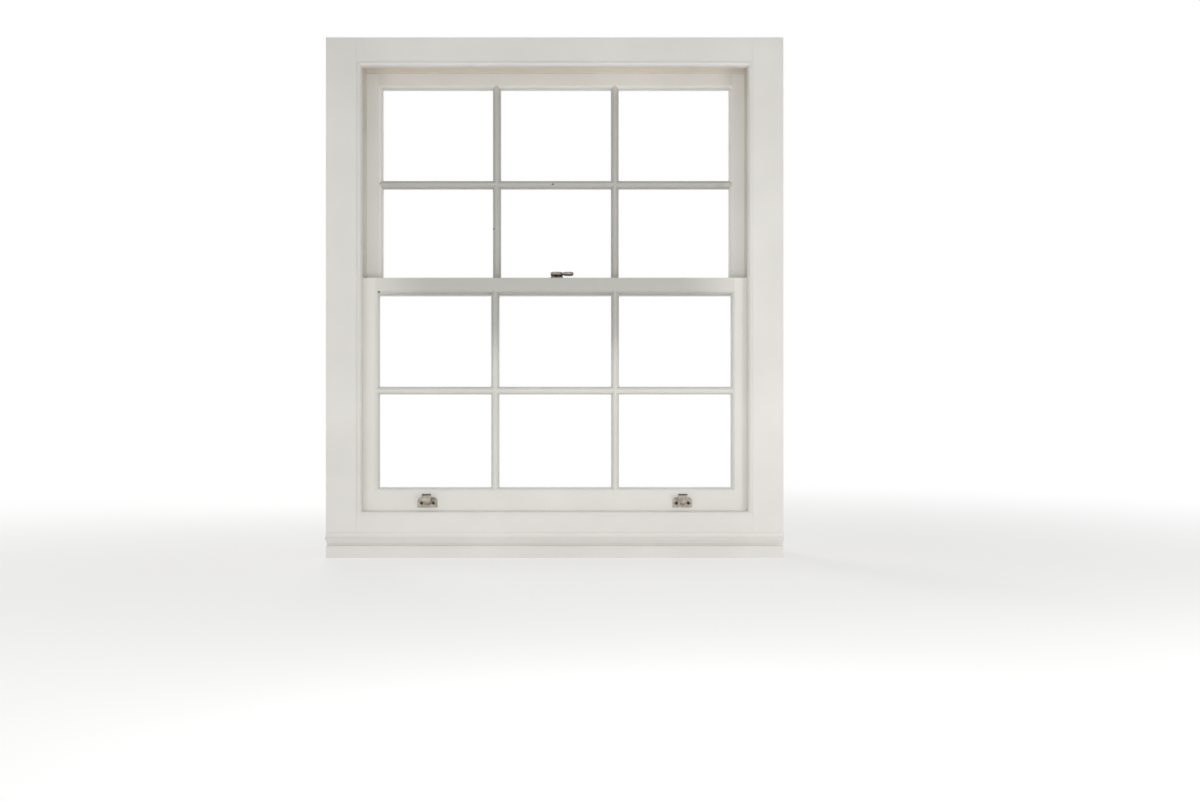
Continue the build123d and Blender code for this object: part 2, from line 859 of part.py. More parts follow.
def keeper_screw_spots():
    """Where the two screws of the keeper sit, heads up."""
    y = keeper_near_y + keeper_depth - keeper_screw_edge
    return [
        Plane(
            origin=(fastener_x + side * keeper_screw_spacing / 2, y, lower_high + keeper_plate_thickness),
            z_dir=(0, 0, -1),
        )
        for side in (-1, 1)
    ]


def base_screw_spots():
    """Where the two screws of the fastener's base sit, heads up."""
    return [
        Plane(
            origin=(
                fastener_x + side * base_screw_spacing / 2,
                fastener_y + base_screw_set_back,
                lower_high + base_plate_thickness,
            ),
            z_dir=(0, 0, -1),
        )
        for side in (-1, 1)
    ]


def lift_screw_spots():
    """Where the screws of both hook lifts sit, heads to the room."""
    y = lower_room_y - lift_plate_thickness
    z = lower_low + lift_plate_above_sash + lift_screw_rise
    return [
        Plane(origin=(lift_x + side * lift_screw_spacing / 2, y, z), z_dir=(0, 1, 0))
        for lift_x in (-lift_spacing / 2, lift_spacing / 2)
        for side in (-1, 1)
    ]


def make_lift(middle_x):
    """One hook lift: a round-shouldered plate, and a hook that flares upward to a rolled lip."""
    low = lower_low + lift_plate_above_sash
    high = low + lift_plate_height
    outline = Rectangle(lift_plate_width, lift_plate_height)
    outline = fillet(outline.vertices().group_by(Axis.Y)[-1], lift_corner_radius)
    face = Plane(origin=(middle_x, lower_room_y, (low + high) / 2), x_dir=(1, 0, 0), z_dir=(0, -1, 0))
    plate = extrude(face * outline, amount=lift_plate_thickness)
    half = hook_thickness / 2
    root_y = lower_room_y - lift_plate_thickness + past
    out_y = lower_room_y - lift_plate_thickness - hook_run
    root_z = low + hook_root_rise
    tip_z = low + hook_height + half
    centre = FilletPolyline(
        (root_z, root_y),
        (root_z, out_y),
        (tip_z, out_y),
        radius=hook_bend_radius,
    )
    lip = ThreePointArc(
        (tip_z, out_y),
        (tip_z + hook_lip_roll * math.sin(math.pi / 4), out_y - hook_lip_roll * (1 - math.cos(math.pi / 4))),
        (tip_z + hook_lip_roll, out_y - hook_lip_roll),
    )
    line = Wire([*centre.edges(), lip])
    start = Plane(origin=line @ 0, z_dir=line % 0, x_dir=(0, 0, 1))
    strip = sweep(start * Rectangle(hook_width, hook_thickness), path=line)
    hook = Plane(origin=(0, 0, 0), x_dir=(0, 0, 1), z_dir=(-1, 0, 0)) * strip
    flare = polygon([
        (-hook_root_width / 2, low),
        (hook_root_width / 2, low),
        (hook_root_width / 2, root_z),
        (hook_width / 2, root_z + hook_flare_height),
        (hook_width / 2, high + hook_height),
        (-hook_width / 2, high + hook_height),
        (-hook_width / 2, root_z + hook_flare_height),
        (-hook_root_width / 2, root_z),
    ])
    hook = hook & along_y(flare, out_y - hook_thickness - hook_lip_roll, root_y)
    return plate + Pos(middle_x, 0, 0) * hook


def make_lifts():
    """Both hook lifts, drilled and countersunk."""
    lifts = [make_lift(-lift_spacing / 2), make_lift(lift_spacing / 2)]
    for spot in lift_screw_spots():
        lifts = [lift - screw_tool(spot, case_fit) for lift in lifts]
    return group(lifts)


def both_sides(name, shape):
    """A right-hand piece and its mirror image, as two nodes."""
    return {f"{name}_right": shape, f"{name}_left": left_of(shape)}


def make_head():
    """The head board, housed over the pulley stiles and grooved for the head parting bead."""
    board = block((-frame_half, frame_half), (-box_face, box_face), (soffit, head_top))
    groove = block(
        (-bead_edge, bead_edge),
        (-channel_face, channel_face),
        (soffit - past, soffit + parting_groove_depth),
    )
    housing = block(
        (stile_face, stile_back),
        (-box_face, box_face),
        (soffit - past, soffit + head_housing_depth),
    )
    return board - groove - housing - left_of(housing)


def make_pulley_stile():
    """The right-hand pulley stile: grooved for its parting bead, mortised for two pulleys, with a pocket."""
    stile_top = soffit + head_housing_depth
    stile = block((stile_face, stile_back), (-box_face, box_face), (housing_floor, stile_top))
    stile = stile - block(
        (stile_face - past, stile_face + parting_groove_depth),
        (-channel_face, channel_face),
        (bead_foot, soffit),
    )
    plate_seat = SlotOverall(case_plate_length + 2 * case_fit, case_plate_width + 2 * case_fit)
    mortise_y = wheel_width / 2 + case_cheek_gap + case_cheek_thickness + case_fit
    mortise_z = wheel_flange_radius + case_slot_margin
    for channel_y in (-channel_middle, channel_middle):
        seat = Plane(origin=(stile_face - past, channel_y, wheel_z), x_dir=(0, 0, 1), z_dir=(1, 0, 0))
        stile = stile - extrude(seat * plate_seat, amount=past + case_plate_thickness)
        stile = stile - block(
            (stile_face, stile_back + past),
            (channel_y - mortise_y, channel_y + mortise_y),
            (wheel_z - mortise_z, wheel_z + mortise_z),
        )
        for spot in case_screw_spots(channel_y):
            stile = stile - screw_tool(spot, case_fit)
    return stile - pocket_block(-channel_middle, pocket_fit)


def make_pocket_pieces():
    """The two loose pieces that close the pockets, in the room-side half of each pulley stile."""
    room = block((stile_face, stile_back), (-box_face, 0), (housing_floor, soffit))
    piece = pocket_block(-channel_middle, 0) & room
    return group([piece, left_of(piece)])


def make_linings(sill):
    """The linings that close the box to the room, outdoors and at its back, and those of the head."""
    inner = block((stile_face, frame_half), (-lining_face, -box_face), (housing_floor, frame_top))
    outer = block((outer_edge, frame_half), (box_face, lining_face), (housing_floor, frame_top))
    outer = single(eased(outer, Axis.Z, Axis.X) - sill)
    back = block((box_back, frame_half), (-box_face, box_face), (housing_floor, soffit))
    head_edge = soffit - outer_lining_projection
    outer_head = block((-outer_edge, outer_edge), (box_face, lining_face), (head_edge, frame_top))
    return {
        **both_sides("inner_lining", inner),
        **both_sides("outer_lining", outer),
        **both_sides("back_lining", back),
        "inner_lining_head": block((-stile_face, stile_face), (-lining_face, -box_face), (soffit, frame_top)),
        "outer_lining_head": eased(outer_head, Axis.X, Axis.Z),
    }


def eased(board, along, across):
    """A board with rounded arrises: the two that run along one axis, at the low end of another."""
    return fillet(board.edges().filter_by(along).group_by(across)[0], arris_radius)


def make_parting_slips():
    """The thin slips that keep the two weights of a jamb apart, hung from the head."""
    slip = block(
        (stile_back + parting_slip_side_gap, box_back - parting_slip_side_gap),
        (-parting_slip_thickness / 2, parting_slip_thickness / 2),
        (housing_floor + parting_slip_lift, soffit),
    )
    return group([slip, left_of(slip)])


def make_parting_beads(sill):
    """The beads between the two sashes, let into the pulley stiles and the head, their free edges eased."""
    upright = block(
        (bead_edge, stile_face + parting_groove_depth),
        (-channel_face, channel_face),
        (bead_foot, soffit),
    )
    across = block(
        (-bead_edge, bead_edge),
        (-channel_face, channel_face),
        (soffit - parting_bead_projection, soffit + parting_groove_depth),
    )
    return {
        **both_sides("parting_bead", single(eased(upright, Axis.Z, Axis.X) - sill)),
        "parting_bead_head": eased(across, Axis.X, Axis.Z),
    }


def make_lower_sash():
    """The lower sash, in the room-side channel: bevelled to the sill, splayed where the sashes meet."""
    sash = make_sash("lower", lower_room_y, lower_low, bottom_rail_height, meeting_rail_height)
    bevel = sill_bevel()
    stile = sash["lower_stile_right"] - cord_groove(lower_room_y, lower_knot_z, lower_high) - bevel
    splay_low = lower_high - meeting_rail_height + rebate_width
    splay = along_x(
        polygon([
            (splay_low, -sash_near - past),
            (splay_low, meeting_line(splay_low, -1)),
            (lower_high, meeting_line(lower_high, -1)),
            (lower_high, -sash_near - past),
        ]),
        -splay_end,
        splay_end,
    )
    bottom_rail = sash["lower_low_rail"] - bevel
    for spot in lift_screw_spots():
        bottom_rail = bottom_rail - screw_tool(spot, 0)
    meeting_rail = sash["lower_high_rail"] + (splay - stile - left_of(stile))
    for spot in base_screw_spots():
        meeting_rail = meeting_rail - screw_tool(spot, 0)
    return {
        **both_sides("lower_stile", stile),
        "lower_bottom_rail": bottom_rail,
        "lower_meeting_rail": meeting_rail,
        **{name: group(sash[name]) for name in sash if isinstance(sash[name], list)},
    }


def make_upper_sash():
    """The upper sash, in the outer channel: its square meeting rail splayed to the lower one."""
    sash = make_sash("upper", upper_room_y, upper_low, meeting_rail_height, top_rail_height, square_section)
    stile = sash["upper_stile_right"] - cord_groove(upper_room_y, upper_knot_z, upper_high)
    splay = along_x(
        polygon([
            (upper_low, meeting_line(upper_low, 1)),
            (upper_low, sash_near + past),
            (lower_high, sash_near + past),
            (lower_high, meeting_line(lower_high, 1)),
        ]),
        -splay_end,
        splay_end,
    )
    meeting_rail = sash["upper_low_rail"] + (splay - stile - left_of(stile))
    for spot in keeper_screw_spots():
        meeting_rail = meeting_rail - screw_tool(spot, 0)
    return {
        **both_sides("upper_stile", stile),
        "upper_top_rail": sash["upper_high_rail"],
        "upper_meeting_rail": meeting_rail,
        **{name: group(sash[name]) for name in sash if isinstance(sash[name], list)},
    }


def make_balances():
    """Pulleys, cords and weights: the lower sash hangs in the room-side channel, the upper outdoors."""
    axle_reach = wheel_width / 2 + case_cheek_gap + case_cheek_thickness
    cases, axles, screws, nodes = [], [], [], {}
    for name, channel_y, knot_z, eye_z, length in (
        ("lower", -channel_middle, lower_knot_z, lower_eye_z, lower_weight_length),
        ("upper", channel_middle, upper_knot_z, upper_eye_z, upper_weight_length),
    ):
        cases.append(make_pulley_case(channel_y))
        near = (wheel_x, channel_y - axle_reach, wheel_z)
        axles.append(rod(axle_radius, near, (wheel_x, channel_y + axle_reach, wheel_z)))
        screws += [make_screw(spot) for spot in case_screw_spots(channel_y)]
        nodes.update(both_sides(f"{name}_pulley_wheel", make_wheel(channel_y)))
        nodes.update(both_sides(f"{name}_weight", make_weight(channel_y, eye_z, length)))
        nodes.update(both_sides(f"{name}_cord", make_cord(channel_y, knot_z, eye_z)))
    nodes.update(both_sides("pulley_cases", group(cases)))
    nodes["pulley_axles"] = group(axles + [left_of(axle) for axle in axles])
    nodes["case_screws"] = group(screws + [left_of(screw) for screw in screws])
    return nodes


sill = make_sill()
parts = {
    "sill": sill,
    "head": make_head(),
    **both_sides("pulley_stile", make_pulley_stile()),
    "pocket_pieces": make_pocket_pieces(),
    **make_linings(sill),
    "parting_slips": make_parting_slips(),
    **make_parting_beads(sill),
    **make_staff_beads(),
    "cover_mould": make_cover_mould(),
    **make_lower_sash(),
    **make_upper_sash(),
    **make_balances(),
    **make_fastener(),
    "sash_lifts": make_lifts(),
    "lower_sash_screws": group([make_screw(spot) for spot in lift_screw_spots() + base_screw_spots()]),
    "keeper_screws": group([make_screw(spot) for spot in keeper_screw_spots()]),
}

os.makedirs("parts", exist_ok=True)
for name, shape in parts.items():
    export_step(shape, f"parts/{name}.step")
print(len(parts), "parts")
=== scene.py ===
"""A six-over-six box sash window: its finishes, its braided cords and the studio it stands in."""

import json
import logging
import math
from dataclasses import dataclass
from enum import Enum

import bmesh
import bpy
from mathutils import Euler, Matrix, Vector


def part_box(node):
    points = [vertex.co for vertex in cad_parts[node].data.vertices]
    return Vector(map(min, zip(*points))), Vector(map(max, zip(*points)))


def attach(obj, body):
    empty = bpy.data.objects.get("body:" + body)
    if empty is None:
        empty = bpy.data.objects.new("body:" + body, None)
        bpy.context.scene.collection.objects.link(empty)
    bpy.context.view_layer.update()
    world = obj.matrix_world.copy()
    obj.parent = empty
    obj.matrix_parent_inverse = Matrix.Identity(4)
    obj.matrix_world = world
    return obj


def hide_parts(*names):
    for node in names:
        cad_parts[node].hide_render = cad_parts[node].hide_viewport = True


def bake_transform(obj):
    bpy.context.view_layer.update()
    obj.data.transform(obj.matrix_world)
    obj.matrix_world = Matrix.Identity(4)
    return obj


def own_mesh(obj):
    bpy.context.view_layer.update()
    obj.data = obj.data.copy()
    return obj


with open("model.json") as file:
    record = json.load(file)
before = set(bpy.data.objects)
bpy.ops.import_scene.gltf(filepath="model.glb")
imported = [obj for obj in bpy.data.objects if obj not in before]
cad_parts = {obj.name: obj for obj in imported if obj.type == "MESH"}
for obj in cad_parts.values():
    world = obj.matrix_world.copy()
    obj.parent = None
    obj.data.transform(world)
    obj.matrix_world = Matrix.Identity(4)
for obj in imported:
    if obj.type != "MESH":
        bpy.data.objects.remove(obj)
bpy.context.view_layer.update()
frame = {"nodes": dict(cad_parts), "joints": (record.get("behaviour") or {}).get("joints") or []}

log = logging.getLogger("sash_window")
MM = 0.001

# Vertices this near are one, and two faces that turn this far from each other meet in an arris.
WELD = 0.001 * MM
ARRIS_FROM = math.radians(40)
ARRIS_SEGMENTS = 2


class Along(Enum):
    """The way a board's grain and the painter's brush run."""

    UPRIGHT = (0.0, 0.0, 1.0)
    LEVEL = (1.0, 0.0, 0.0)


class Side(Enum):
    """A jamb of the window, seen from the room, and the sign of X on it."""

    LEFT = -1
    RIGHT = 1


class Sash(Enum):
    """One of the two sashes."""

    LOWER = "lower"
    UPPER = "upper"


def linear(hex_colour: str) -> tuple[float, float, float, float]:
    """Turn an sRGB colour into the linear values that a shader takes.

    Args:
        hex_colour: The colour as "#RRGGBB".

    Returns:
        Linear red, green and blue, and an alpha of 1.
    """
    shares = [int(hex_colour[place:place + 2], 16) / 255 for place in (1, 3, 5)]
    red, green, blue = (s / 12.92 if s <= 0.04045 else ((s + 0.055) / 1.055) ** 2.4 for s in shares)
    return red, green, blue, 1.0


def per_metre(size_mm: float) -> float:
    """The texture scale at which one cell of a pattern measures size_mm."""
    return 1 / (size_mm * MM)


def eased(share: float) -> float:
    """Turn an even climb from 0 to 1 into one that starts and ends level."""
    return share * share * (3 - 2 * share)


def add_node(tree: bpy.types.NodeTree, kind: str, feeds: dict[str | int, object] | None = None,
             **settings: object) -> bpy.types.Node:
    """Add a shader node with its settings, values and links.

    Args:
        tree: The material's or the world's node tree.
        kind: The node's type without its ShaderNode prefix.
        feeds: For each input, by name or number, a value or the output that is linked to it.
        settings: The node's own properties.

    Returns:
        The new node.
    """
    made = tree.nodes.new("ShaderNode" + kind)
    for name, value in settings.items():
        setattr(made, name, value)
    for place, value in (feeds or {}).items():
        if isinstance(value, bpy.types.NodeSocket):
            tree.links.new(value, made.inputs[place])
        else:
            made.inputs[place].default_value = value
    return made


@dataclass(frozen=True)
class Finish:
    """A material in the making: a name, and the patterns that every finish draws on."""

    name: str

    def start(self) -> tuple[bpy.types.Material, bpy.types.NodeTree, bpy.types.Node]:
        """Start the material from one Principled shader.

        Returns:
            The material, its node tree and its Principled node.
        """
        material = bpy.data.materials.new(self.name)
        material.use_nodes = True
        tree = material.node_tree
        tree.nodes.clear()
        shader = add_node(tree, "BsdfPrincipled")
        add_node(tree, "OutputMaterial", {"Surface": shader.outputs["BSDF"]})
        return material, tree, shader

    @staticmethod
    def cells(tree: bpy.types.NodeTree, size_mm: float, detail: float = 2.0) -> bpy.types.NodeSocket:
        """Even noise on Object coordinates.

        Args:
            tree: The material's node tree.
            size_mm: The size of a cell.
            detail: How many finer layers the noise has.

        Returns:
            The pattern, from 0 to 1.
        """
        place = add_node(tree, "TexCoord").outputs["Object"]
        feeds = {"Vector": place, "Scale": per_metre(size_mm), "Detail": detail}
        return add_node(tree, "TexNoise", feeds).outputs["Fac"]

    @staticmethod
    def streaks(tree: bpy.types.NodeTree, along: Along, across_mm: float, length_mm: float,
                bend: float = 0.0, detail: float = 3.0) -> bpy.types.NodeSocket:
        """Noise drawn out along a board, as grain and brush marks are.

        Args:
            tree: The material's node tree.
            along: The way the streaks run.
            across_mm: A streak's width.
            length_mm: A streak's length.
            bend: How much the streaks wander.
            detail: How many finer layers the noise has.

        Returns:
            The pattern, from 0 to 1.
        """
        place = add_node(tree, "TexCoord").outputs["Object"]
        scale = [per_metre(length_mm if share else across_mm) for share in along.value]
        turned = add_node(tree, "Mapping", {"Vector": place, "Scale": scale}).outputs["Vector"]
        feeds = {"Vector": turned, "Scale": 1.0, "Detail": detail, "Distortion": bend}
        return add_node(tree, "TexNoise", feeds).outputs["Fac"]

    @staticmethod
    def crevice_dust_and_shade(tree: bpy.types.NodeTree, reach_mm: float, most: float) -> bpy.types.NodeSocket:
        """How dirty and how shaded a point is painted: 0 in the open, most deep in a joint or a corner.

        Args:
            tree: The material's node tree.
            reach_mm: How far from a corner the dirt and painted shade reach.
            most: The share of dirt and painted shade deep in the corner.

        Returns:
            The share of dirt and painted shade.
        """
        rays, open_sky, shut_in = 8, 0.6, 0.1
        shade = add_node(tree, "AmbientOcclusion", {"Distance": reach_mm * MM}, samples=rays)
        ends = {"From Min": open_sky, "From Max": shut_in, "To Min": 0.0, "To Max": most}
        return add_node(tree, "MapRange", {"Value": shade.outputs["AO"], **ends}).outputs["Result"]

    @staticmethod
    def tones(tree: bpy.types.NodeTree, share: bpy.types.NodeSocket, low: str, high: str,
              start: float = 0.35, end: float = 0.65) -> bpy.types.NodeSocket:
        """Colour a pattern between two tones.

        Args:
            tree: The material's node tree.
            share: The pattern, from 0 to 1.
            low: The tone below start, as "#RRGGBB".
            high: The tone above end, as "#RRGGBB".
            start: Where the first tone ends.
            end: Where the second tone begins.

        Returns:
            The colour.
        """
        ramp = add_node(tree, "ValToRGB", {"Fac": share})
        for stop, place, tone in zip(ramp.color_ramp.elements, (start, end), (low, high)):
            stop.position = place
            stop.color = linear(tone)
        return ramp.outputs["Color"]

    @staticmethod
    def relief(tree: bpy.types.NodeTree, shader: bpy.types.Node, height: bpy.types.NodeSocket,
               depth_mm: float) -> None:
        """Raise a pattern off the surface.

        Args:
            tree: The material's node tree.
            shader: The Principled node that takes the bumps.
            height: The pattern, from 0 to 1.
            depth_mm: How far 1 stands above 0.
        """
        bumps = add_node(tree, "Bump", {"Distance": depth_mm * MM, "Height": height})
        tree.links.new(bumps.outputs["Normal"], shader.inputs["Normal"])

    @staticmethod
    def mixed(tree: bpy.types.NodeTree, share: bpy.types.NodeSocket, under: bpy.types.NodeSocket,
              over: str) -> bpy.types.NodeSocket:
        """Lay one tone over a colour.

        Args:
            tree: The material's node tree.
            share: How much of the colour the tone covers, from 0 to 1.
            under: The colour below.
            over: The tone, as "#RRGGBB".

        Returns:
            The mixed colour.
        """
        # A Mix node has an A, a B and a Result for each type of data, and these are the colours' own.
        a, b, result = 6, 7, 2
        feeds = {"Factor": share, a: under, b: linear(over)}
        return add_node(tree, "Mix", feeds, data_type="RGBA").outputs[result]

    @staticmethod
    def span(tree: bpy.types.NodeTree, share: bpy.types.NodeSocket,
             ends: tuple[float, float]) -> bpy.types.NodeSocket:
        """Stretch the middle of a pattern, which noise seldom leaves, over a range of values.

        Args:
            tree: The material's node tree.
            share: The pattern, from 0 to 1.
            ends: The values at the low and the high end of the middle.

        Returns:
            The value.
        """
        low, high = 0.3, 0.7
        feeds = {"Value": share, "From Min": low, "From Max": high, "To Min": ends[0], "To Max": ends[1]}
        return add_node(tree, "MapRange", feeds).outputs["Result"]


@dataclass(frozen=True)
class SatinPaint(Finish):
    """Off-white alkyd satin paint, laid on softwood with a brush.

    The eye gets a soft sheen that breaks up along the brush marks, grey dirt and painted shade where two
    pieces meet, painted shade that deepens along some members, and here and there a small dark chip.
    """

    along: Along = Along.UPRIGHT
    fresh: str = "#E7E5E0"
    aged: str = "#E0DED9"
    # Dirt and painted shade darken joints, corners and recesses.
    dust_and_shade: str = "#8C8A83"
    dust_and_shade_share: float = 0.2
    dust_and_shade_reach_mm: float = 4.0
    mottle_mm: float = 260.0
    # A brush also leaves finer marks, which would not show, so only its coarse ones are drawn.
    mark_width_mm: float = 1.8
    mark_length_mm: float = 110.0
    mark_depth_mm: float = 0.08
    sheen: tuple[float, float] = (0.36, 0.47)
    chips: tuple[tuple[float, float, float], ...] = ()
    chip_size_mm: tuple[float, float, float] = (3.1, 14.0, 2.3)
    chip_edge: tuple[float, float] = (0.75, 1.1)
    bare: str = "#544B3F"
    # Painted shade that deepens along the member, between two distances from the origin.
    shade_mm: tuple[float, float] | None = None
    shade_tone: str = "#BDBCB6"

    def material(self) -> bpy.types.Material:
        """Make the material.

        Returns:
            The paint.
        """
        material, tree, shader = self.start()
        coat = self.tones(tree, self.cells(tree, self.mottle_mm), self.fresh, self.aged)
        # Painted shade along the member.
        if self.shade_mm:
            coat = self.mixed(tree, self.shade_gradient(tree), coat, self.shade_tone)
        # Dirt and painted shade in the joints and corners.
        joints = self.crevice_dust_and_shade(tree, self.dust_and_shade_reach_mm, self.dust_and_shade_share)
        coat = self.mixed(tree, joints, coat, self.dust_and_shade)
        for chip in self.chips:
            coat = self.mixed(tree, self.chip(tree, chip), coat, self.bare)
        marks = self.streaks(tree, self.along, self.mark_width_mm, self.mark_length_mm)
        tree.links.new(coat, shader.inputs["Base Color"])
        tree.links.new(self.span(tree, marks, self.sheen), shader.inputs["Roughness"])
        self.relief(tree, shader, marks, self.mark_depth_mm)
        return material

    def shade_gradient(self, tree: bpy.types.NodeTree) -> bpy.types.NodeSocket:
        """How much painted shade lies on the board at each place along it.

        Args:
            tree: The material's node tree.

        Returns:
            0 at the first distance of shade_mm, which is counted from the origin, and 1 at the second.
        """
        place = add_node(tree, "TexCoord").outputs["Object"]
        way = "Z" if self.along is Along.UPRIGHT else "X"
        along = add_node(tree, "SeparateXYZ", {"Vector": place}).outputs[way]
        far = add_node(tree, "Math", {0: along}, operation="ABSOLUTE").outputs["Value"]
        unshaded, fully_shaded = (edge * MM for edge in self.shade_mm)
        feeds = {"Value": far, "From Min": unshaded, "From Max": fully_shaded}
        return add_node(tree, "MapRange", feeds, interpolation_type="SMOOTHSTEP").outputs["Result"]

    def chip(self, tree: bpy.types.NodeTree,
             middle_mm: tuple[float, float, float]) -> bpy.types.NodeSocket:
        """Where the paint has chipped off.

        Args:
            tree: The material's node tree.
            middle_mm: The chip's middle, in millimetres.

        Returns:
            1 within the chip and 0 outside.
        """
        place = add_node(tree, "TexCoord").outputs["Object"]
        middle = Vector(middle_mm) * MM
        off = add_node(tree, "VectorMath", {0: place, 1: middle}, operation="SUBTRACT").outputs["Vector"]
        size = Vector(self.chip_size_mm) * MM
        shares = add_node(tree, "VectorMath", {0: off, 1: size}, operation="DIVIDE").outputs["Vector"]
        far = add_node(tree, "VectorMath", {0: shares}, operation="LENGTH").outputs["Value"]
        inner, outer = self.chip_edge
        ends = {"From Min": inner, "From Max": outer, "To Min": 1.0, "To Max": 0.0}
        return add_node(tree, "MapRange", {"Value": far, **ends}).outputs["Result"]


@dataclass(frozen=True)
class SawnPine(Finish):
    """Unpainted pine, sawn and left rough.

    The eye gets honey and straw bands of early and late wood, and a dry, matt face.
    """

    along: Along = Along.UPRIGHT
    early_wood: str = "#DCC29B"
    late_wood: str = "#BE9466"
    ring_mm: float = 9.0
    ring_run_mm: float = 520.0
    ring_bend: float = 0.5
    # Real fibres are too fine to show, so these are torn bundles of them.
    fibre_mm: float = 0.8
    fibre_run_mm: float = 22.0
    saw_depth_mm: float = 0.2
    roughness: float = 0.74

    def material(self) -> bpy.types.Material:
        """Make the material.

        Returns:
            The bare wood.
        """
        material, tree, shader = self.start()
        rings = self.streaks(tree, self.along, self.ring_mm, self.ring_run_mm, self.ring_bend)
        fibres = self.streaks(tree, self.along, self.fibre_mm, self.fibre_run_mm)
        bands = self.tones(tree, rings, self.early_wood, self.late_wood)
        tree.links.new(bands, shader.inputs["Base Color"])
        self.relief(tree, shader, fibres, self.saw_depth_mm)
        shader.inputs["Roughness"].default_value = self.roughness
        return material


@dataclass(frozen=True)
class PaneGlass(Finish):
    """Clear soda-lime glass, drawn and a little wavy.

    The eye sees straight through it, and gets reflections that bend slowly.
    """

    tint: str = "#FFFFFF"
    ior: float = 1.52
    wave_mm: float = 140.0
    wave_depth_mm: float = 0.2
    wave_detail: float = 0.0
    roughness: float = 0.0
    clearness: float = 1.0

    def material(self) -> bpy.types.Material:
        """Make the material.

        Returns:
            The glass.
        """
        material, tree, shader = self.start()
        waves = self.cells(tree, self.wave_mm, self.wave_detail)
        self.relief(tree, shader, waves, self.wave_depth_mm)
        shader.inputs["Base Color"].default_value = linear(self.tint)
        shader.inputs["Roughness"].default_value = self.roughness
        shader.inputs["Transmission Weight"].default_value = self.clearness
        shader.inputs["IOR"].default_value = self.ior
        return material


@dataclass(frozen=True)
class AgedMetal(Finish):
    """A solid metal that hands have tarnished: dull in patches, with dirt and painted shade in its
    corners.

    The eye gets a soft, uneven metallic sheen with small pits.
    """

    bright: str = "#A0998C"
    tarnish: str = "#6F685B"
    # Dirt and painted shade in corners, and painted shade by height.
    grime_and_shade: str = "#3D372E"
    patch_mm: float = 9.0
    patch_detail: float = 4.0
    # Real pits are finer, and are drawn as wide as they need to be to show.
    pit_mm: float = 0.8
    pit_depth_mm: float = 0.03
    corner_reach_mm: float = 4.0
    corner_share: float = 0.9
    # Painted shade between two heights.
    height_shade_mm: tuple[float, float] | None = None
    height_shade_share: float = 0.85
    sheen: tuple[float, float] = (0.28, 0.5)
    metallic: float = 1.0

    def material(self) -> bpy.types.Material:
        """Make the material.

        Returns:
            The metal.
        """
        material, tree, shader = self.start()
        patches = self.cells(tree, self.patch_mm, self.patch_detail)
        body = self.tones(tree, patches, self.bright, self.tarnish)
        # Dirt and painted shade in the corners.
        corners = self.crevice_dust_and_shade(tree, self.corner_reach_mm, self.corner_share)
        body = self.mixed(tree, corners, body, self.grime_and_shade)
        # Painted shade by height.
        if self.height_shade_mm:
            body = self.mixed(tree, self.height_shade(tree), body, self.grime_and_shade)
        tree.links.new(body, shader.inputs["Base Color"])
        tree.links.new(self.span(tree, patches, self.sheen), shader.inputs["Roughness"])
        self.relief(tree, shader, self.cells(tree, self.pit_mm), self.pit_depth_mm)
        shader.inputs["Metallic"].default_value = self.metallic
        return material

    def height_shade(self, tree: bpy.types.NodeTree) -> bpy.types.NodeSocket:
        """How much painted shade lies on the metal at each height.

        Args:
            tree: The material's node tree.

        Returns:
            0 at the first height of height_shade_mm, and height_shade_share at the second.
        """
        place = add_node(tree, "TexCoord").outputs["Object"]
        height = add_node(tree, "SeparateXYZ", {"Vector": place}).outputs["Z"]
        unshaded, darkest_height = (edge * MM for edge in self.height_shade_mm)
        ends = {"From Min": unshaded, "From Max": darkest_height, "To Min": 0.0, "To Max": self.height_shade_share}
        return add_node(tree, "MapRange", {"Value": height, **ends}).outputs["Result"]


@dataclass(frozen=True)
class BraidedCotton(Finish):
    """Waxed cotton, plaited over a straight core.

    The eye gets a dull cream cord with a small diamond pattern of crossing strands and painted shade
    between.
    """

    cotton: str = "#D3C9B6"
    # Painted shade in the grooves between strands.
    groove: str = "#85795F"
    strand_edge: tuple[float, float] = (0.1, 0.75)
    # Real fibres are too fine to show, so these are tufts of them.
    fibre_mm: float = 0.5
    fibre_depth_mm: float = 0.08
    roughness: float = 0.88

    def material(self) -> bpy.types.Material:
        """Make the material, with painted shade where the strand attribute is low.

        Returns:
            The cord's surface.
        """
        material, tree, shader = self.start()
        crown = add_node(tree, "Attribute", attribute_name=Braid.ATTRIBUTE).outputs["Fac"]
        strands = self.tones(tree, crown, self.groove, self.cotton, *self.strand_edge)
        tree.links.new(strands, shader.inputs["Base Color"])
        self.relief(tree, shader, self.cells(tree, self.fibre_mm), self.fibre_depth_mm)
        shader.inputs["Roughness"].default_value = self.roughness
        return material


